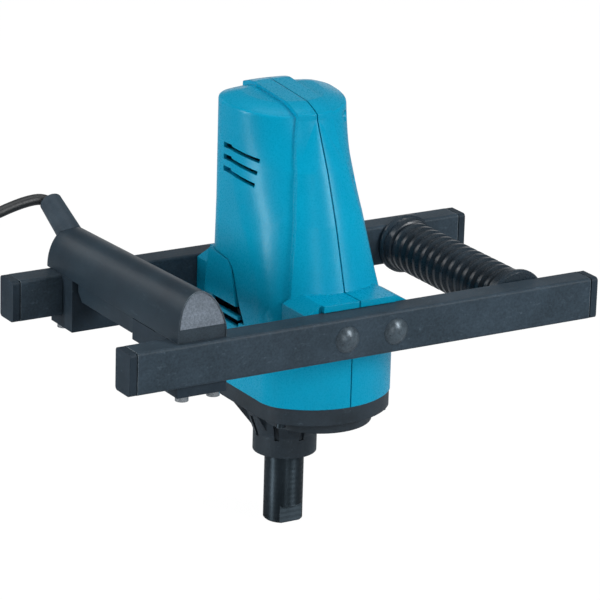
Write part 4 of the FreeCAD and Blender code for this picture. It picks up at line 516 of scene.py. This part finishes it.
@dataclass(frozen=True)
class MainsCord:
    """The mains cord from the handle to its plug, coiled where the photograph doesn't reach.

    Sizes are in metres.

    Attributes:
        route: Points of the free run, the same as the part's own.
        turns: Turns of each of the coil's two layers.
        mean_r: Mean radius of the coil.
        step: Distance from turn to turn and from layer to layer.
        tail: Straight length from the coil to the plug.
        length: Real length of the modelled cord; not used.
        diameter: Diameter of the sheath.
        per_turn: Points on each turn of the coil.
        curve_steps: Steps of the smooth curve from point to point.
        round_steps: Steps that round the sheath.
        strap: Thickness of the strap round the coil.
        strap_corner: Radius at which the strap bends.
        strap_edge: Radius of the strap's woven edges.
        corner_steps: Steps round each bend of the strap.
        edge_steps: Steps that round the strap's edges.
    """

    route: tuple[Point, ...] = (
        (-0.1305, 0.0460, 0.1968), (-0.1305, 0.0740, 0.2024), (-0.1305, 0.0990, 0.2151),
        (-0.1305, 0.1186, 0.2251), (-0.1525, 0.1190, 0.2240), (-0.1900, 0.1170, 0.2130),
        (-0.2360, 0.1200, 0.1820), (-0.2560, 0.1190, 0.1000), (-0.2567, 0.1120, 0.0058),
        (-0.2567, 0.0300, 0.0058))
    turns: float = 3.5
    mean_r: float = 0.044
    step: float = 0.0088
    tail: float = 0.045
    length: float = 2.5
    diameter: float = 0.008
    per_turn: int = 16
    curve_steps: int = 8
    round_steps: int = 5
    strap: float = 0.0012
    strap_corner: float = 0.003
    strap_edge: float = 0.0003
    corner_steps: int = 6
    edge_steps: int = 2

    def coil(self) -> list[Vector]:
        """Follow the coil: in on the lower layer, up in half a turn, out on the upper layer.

        Returns:
            Points of its middle line.
        """
        outer = self.mean_r + self.turns * self.step / 2
        start = Vector(self.route[-1]) - Vector((0, self.diameter, 0))
        layer = FULL_TURN * self.turns
        rise = FULL_TURN / 2
        rate = self.step / FULL_TURN
        last = 2 * layer + rise
        count = round(last / FULL_TURN * self.per_turn)
        found = []
        for index in range(count + 1):
            angle = last * index / count
            climb = min(max(angle - layer, 0.0), rise)
            inward, outward = min(angle, layer), max(angle - layer - rise, 0.0)
            radius = outer - rate * inward - rate * (climb - climb ** 2 / rise) + rate * outward
            level = start.z + self.step * (1 - math.cos(climb)) / 2
            across = start.x - outer + radius * math.cos(angle)
            found.append(Vector((across, start.y - radius * math.sin(angle), level)))
        return found

    def build(self) -> None:
        """Lay the cord as one smooth curve and tie its coil."""
        turns = self.coil()
        away = (turns[-1] - turns[-2]).normalized()
        points = [Vector(point) for point in self.route] + turns + [turns[-1] + away * self.tail]
        curve = bpy.data.curves.new("mains_cord", "CURVE")
        curve.dimensions = "3D"
        curve.resolution_u = self.curve_steps
        curve.bevel_depth = self.diameter / 2
        curve.bevel_resolution = self.round_steps
        curve.use_fill_caps = True
        spline = curve.splines.new("NURBS")
        spline.points.add(len(points) - 1)
        for knot, point in zip(spline.points, points):
            knot.co = (*point, 1.0)
        spline.order_u = 3
        spline.use_endpoint_u = True
        curve.materials.append(CORD_RUBBER.material())
        cord = bpy.data.objects.new("mains_cord", curve)
        place_piece(cord)
        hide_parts("power_cord", "cord_coil")
        self.tie()

    def strap_outline(self, inset: float) -> list[tuple[float, float]]:
        """Follow the strap round the coil's turns.

        Args:
            inset: Distance in from the strap's outer face.

        Returns:
            Points in Y and Z.
        """
        low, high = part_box("cord_tie")
        corner, reach = self.strap_corner, self.strap_corner - inset
        outline = []
        for quarter, (side_y, side_z) in enumerate(((1, 1), (-1, 1), (-1, -1), (1, -1))):
            centre_y = (high.y if side_y > 0 else low.y) - side_y * corner
            centre_z = (high.z if side_z > 0 else low.z) - side_z * corner
            for share in range(self.corner_steps + 1):
                angle = FULL_TURN / 4 * (quarter + share / self.corner_steps)
                outline.append((centre_y + reach * math.cos(angle), centre_z + reach * math.sin(angle)))
        return outline

    def tie(self) -> bpy.types.Object:
        """Bend a woven strap round the coil's turns.

        Returns:
            The strap.
        """
        low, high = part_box("cord_tie")
        outlines = [self.strap_outline(inset) for inset in (0.0, self.strap)]
        mesh = bpy.data.meshes.new("cord_strap")
        shape = bmesh.new()
        outer_low, inner_low, outer_high, inner_high = (
            [shape.verts.new((x, y, z)) for y, z in outline] for x in (low.x, high.x) for outline in outlines)
        sides = ((outer_low, outer_high), (inner_high, inner_low), (inner_low, outer_low),
                 (outer_high, inner_high))
        for first, second in sides:
            for index in range(len(first)):
                before = index - 1
                shape.faces.new((first[before], first[index], second[index], second[before]))
        bmesh.ops.recalc_face_normals(shape, faces=shape.faces)
        shape.to_mesh(mesh)
        shape.free()
        mesh.materials.append(TIE_WEBBING.material())
        strap = bpy.data.objects.new("cord_strap", mesh)
        place_piece(strap)
        edge = strap.modifiers.new("edge_round", "BEVEL")
        edge.width = self.strap_edge
        edge.segments = self.edge_steps
        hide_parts("cord_tie")
        return strap

    def dress(self) -> None:
        """Paint the guard and the plug."""
        paint(["cord_guard"], GUARD_RUBBER)
        paint(["plug_body"], CORD_RUBBER)
        paint(["plug_pins"], NICKEL_BRASS)


@dataclass(frozen=True)
class SoftBox:
    """A soft lamp that faces the object.

    Attributes:
        name: The lamp's name.
        at: Its place in metres.
        size: Width and height of its face.
        watts: Its power.
    """

    name: str
    at: Point
    size: tuple[float, float]
    watts: float

    def hang(self, centre: Point) -> None:
        """Hang the lamp.

        Args:
            centre: The point that it faces.
        """
        light = bpy.data.lights.new(self.name, "AREA")
        light.shape = "RECTANGLE"
        light.size, light.size_y = self.size
        light.energy = self.watts
        lamp = bpy.data.objects.new(self.name, light)
        lamp.location = self.at
        lamp.rotation_euler = (Vector(centre) - Vector(self.at)).to_track_quat("-Z", "Y").to_euler()
        bpy.context.scene.collection.objects.link(lamp)


SOFT_BOXES = (
    SoftBox("key_right", at=(0.95, -1.7, 1.1), size=(0.2, 1.0), watts=32.0),
    SoftBox("strip_front", at=(-0.45, -2.0, 0.5), size=(0.16, 1.0), watts=6.0),
    SoftBox("left", at=(-2.0, 0.25, 0.55), size=(0.2, 1.1), watts=28.0),
    SoftBox("top", at=(0.1, 0.1, 2.0), size=(1.2, 1.2), watts=13.0),
    SoftBox("back_left", at=(-1.0, 1.85, 1.0), size=(1.2, 0.5), watts=5.0))


@dataclass(frozen=True)
class Studio:
    """Camera, light and floor of the photograph.

    Attributes:
        azimuth: Camera's turn about Z from straight in front, degrees.
        elevation: Camera's height angle, degrees.
        roll: Camera's roll, degrees.
        distance: Camera's distance in metres.
        lens_mm: Focal length.
        sensor_mm: Width of the sensor.
        centre: The point that the fitted aim is counted from.
        aim: Shift of the aim to the right and up in metres.
        room_shade: sRGB colour of the room.
        room_level: Brightness of the room, where white is one.
        wall: Direction of the middle of the white wall.
        wall_edge: Cosines from that direction between which the wall fades in.
        paper: sRGB colour of the floor.
        paper_glow: Strength of the white that the camera sees on the floor.
        glow_share: Share of that white in what the camera sees; the rest is the lit paper with its shadow.
        floor_half: Half the floor's width in metres.
    """

    azimuth: float = -31.337
    elevation: float = 18.312
    roll: float = 1.645
    distance: float = 2.5797
    lens_mm: float = 220.03
    sensor_mm: float = 36.0
    centre: Point = (0.0, -0.016, 0.172)
    aim: tuple[float, float] = (-0.000148, -0.002636)
    room_shade: str = "#F4F6F8"
    room_level: float = 0.2
    wall: Point = (0.5, 0.866, 0.0)
    wall_edge: tuple[float, float] = (0.94, 0.99)
    paper: str = "#BCC0C4"
    paper_glow: float = 1.05
    glow_share: float = 0.94
    floor_half: float = 6.0

    def axes(self) -> tuple[Vector, Vector, Vector]:
        """Work out the unrolled camera's directions.

        Returns:
            Right, up and back.
        """
        turn, rise = math.radians(self.azimuth), math.radians(self.elevation)
        back = Vector((math.sin(turn) * math.cos(rise), -math.cos(turn) * math.cos(rise), math.sin(rise)))
        right = Vector((math.cos(turn), math.sin(turn), 0.0))
        return right, back.cross(right), back

    def shoot(self) -> None:
        """Set up the camera at the photograph's angle."""
        right, up, back = self.axes()
        roll = math.radians(self.roll)
        across = right * math.cos(roll) + up * math.sin(roll)
        rise = up * math.cos(roll) - right * math.sin(roll)
        spot = Vector(self.centre) + right * self.aim[0] + up * self.aim[1] + back * self.distance
        lens = bpy.data.cameras.new("camera")
        lens.lens = self.lens_mm
        lens.sensor_width = self.sensor_mm
        lens.dof.use_dof = False
        camera = bpy.data.objects.new("camera", lens)
        turned = Matrix((across, rise, back)).transposed().to_4x4()
        camera.matrix_world = Matrix.Translation(spot) @ turned
        bpy.context.scene.collection.objects.link(camera)
        bpy.context.scene.camera = camera
        bpy.context.scene.view_settings.view_transform = "Standard"

    def light(self) -> None:
        """Hang the soft boxes in a dim room with a white wall behind the object."""
        for lamp in SOFT_BOXES:
            lamp.hang(self.centre)
        world = bpy.data.worlds.new("room")
        graph = Graph(world)
        dim = {"Color": linear(self.room_shade), "Strength": self.room_level}
        room = graph.add("ShaderNodeBackground", dim)
        white = graph.add("ShaderNodeBackground", {"Color": WHITE})
        way = graph.add("ShaderNodeTexCoord").outputs["Generated"]
        toward = graph.add("ShaderNodeVectorMath", {1: self.wall}, {0: way}, operation="DOT_PRODUCT")
        wall = graph.add("ShaderNodeMapRange", dict(zip(RANGE, self.wall_edge)),
                         {"Value": toward.outputs["Value"]})
        path = graph.add("ShaderNodeLightPath").outputs
        # Reflections see white in the wall alone, and the camera sees it all round
        bounced = {0: path["Is Glossy Ray"], 1: path["Is Transmission Ray"]}
        mirrored = graph.add("ShaderNodeMath", links=bounced, operation="MAXIMUM")
        shown = {0: mirrored.outputs["Value"], 1: wall.outputs["Result"], 2: path["Is Camera Ray"]}
        seen = graph.add("ShaderNodeMath", links=shown, operation="MULTIPLY_ADD").outputs["Value"]
        mix = graph.add("ShaderNodeMixShader",
                        links={0: seen, 1: room.outputs["Background"], 2: white.outputs["Background"]})
        graph.add("ShaderNodeOutputWorld", links={"Surface": mix.outputs["Shader"]})
        bpy.context.scene.world = world

    def floor(self) -> None:
        """Lay a pale floor that the camera sees as white with a faint shadow."""
        surface = bpy.data.materials.new("floor_paper")
        graph = Graph(surface)
        path = graph.add("ShaderNodeLightPath")
        paper = graph.add("ShaderNodeBsdfDiffuse", {"Color": linear(self.paper)})
        white = graph.add("ShaderNodeEmission", {"Color": WHITE, "Strength": self.paper_glow})
        share = graph.add("ShaderNodeMath", {1: self.glow_share}, {0: path.outputs["Is Camera Ray"]},
                          operation="MULTIPLY").outputs["Value"]
        mix = graph.add("ShaderNodeMixShader",
                        links={0: share, 1: paper.outputs["BSDF"], 2: white.outputs["Emission"]})
        graph.add("ShaderNodeOutputMaterial", links={"Surface": mix.outputs["Shader"]})
        half = self.floor_half
        corners = [(-half, -half, 0), (half, -half, 0), (half, half, 0), (-half, half, 0)]
        mesh = bpy.data.meshes.new("floor")
        mesh.from_pydata(corners, [], [range(len(corners))])
        mesh.materials.append(surface)
        floor = bpy.data.objects.new("floor", mesh)
        bpy.context.scene.collection.objects.link(floor)


def main() -> None:
    """Build the scene."""
    logging.basicConfig(level=logging.INFO, format="%(name)s: %(message)s")
    studio = Studio()
    studio.shoot()
    studio.light()
    studio.floor()
    cord = MainsCord()
    cord.build()
    for part in (Motor(), LadderFrame(), SwitchHandle(), cord):
        part.dress()
    bpy.context.view_layer.update()


if __name__ == "__main__":
    main()
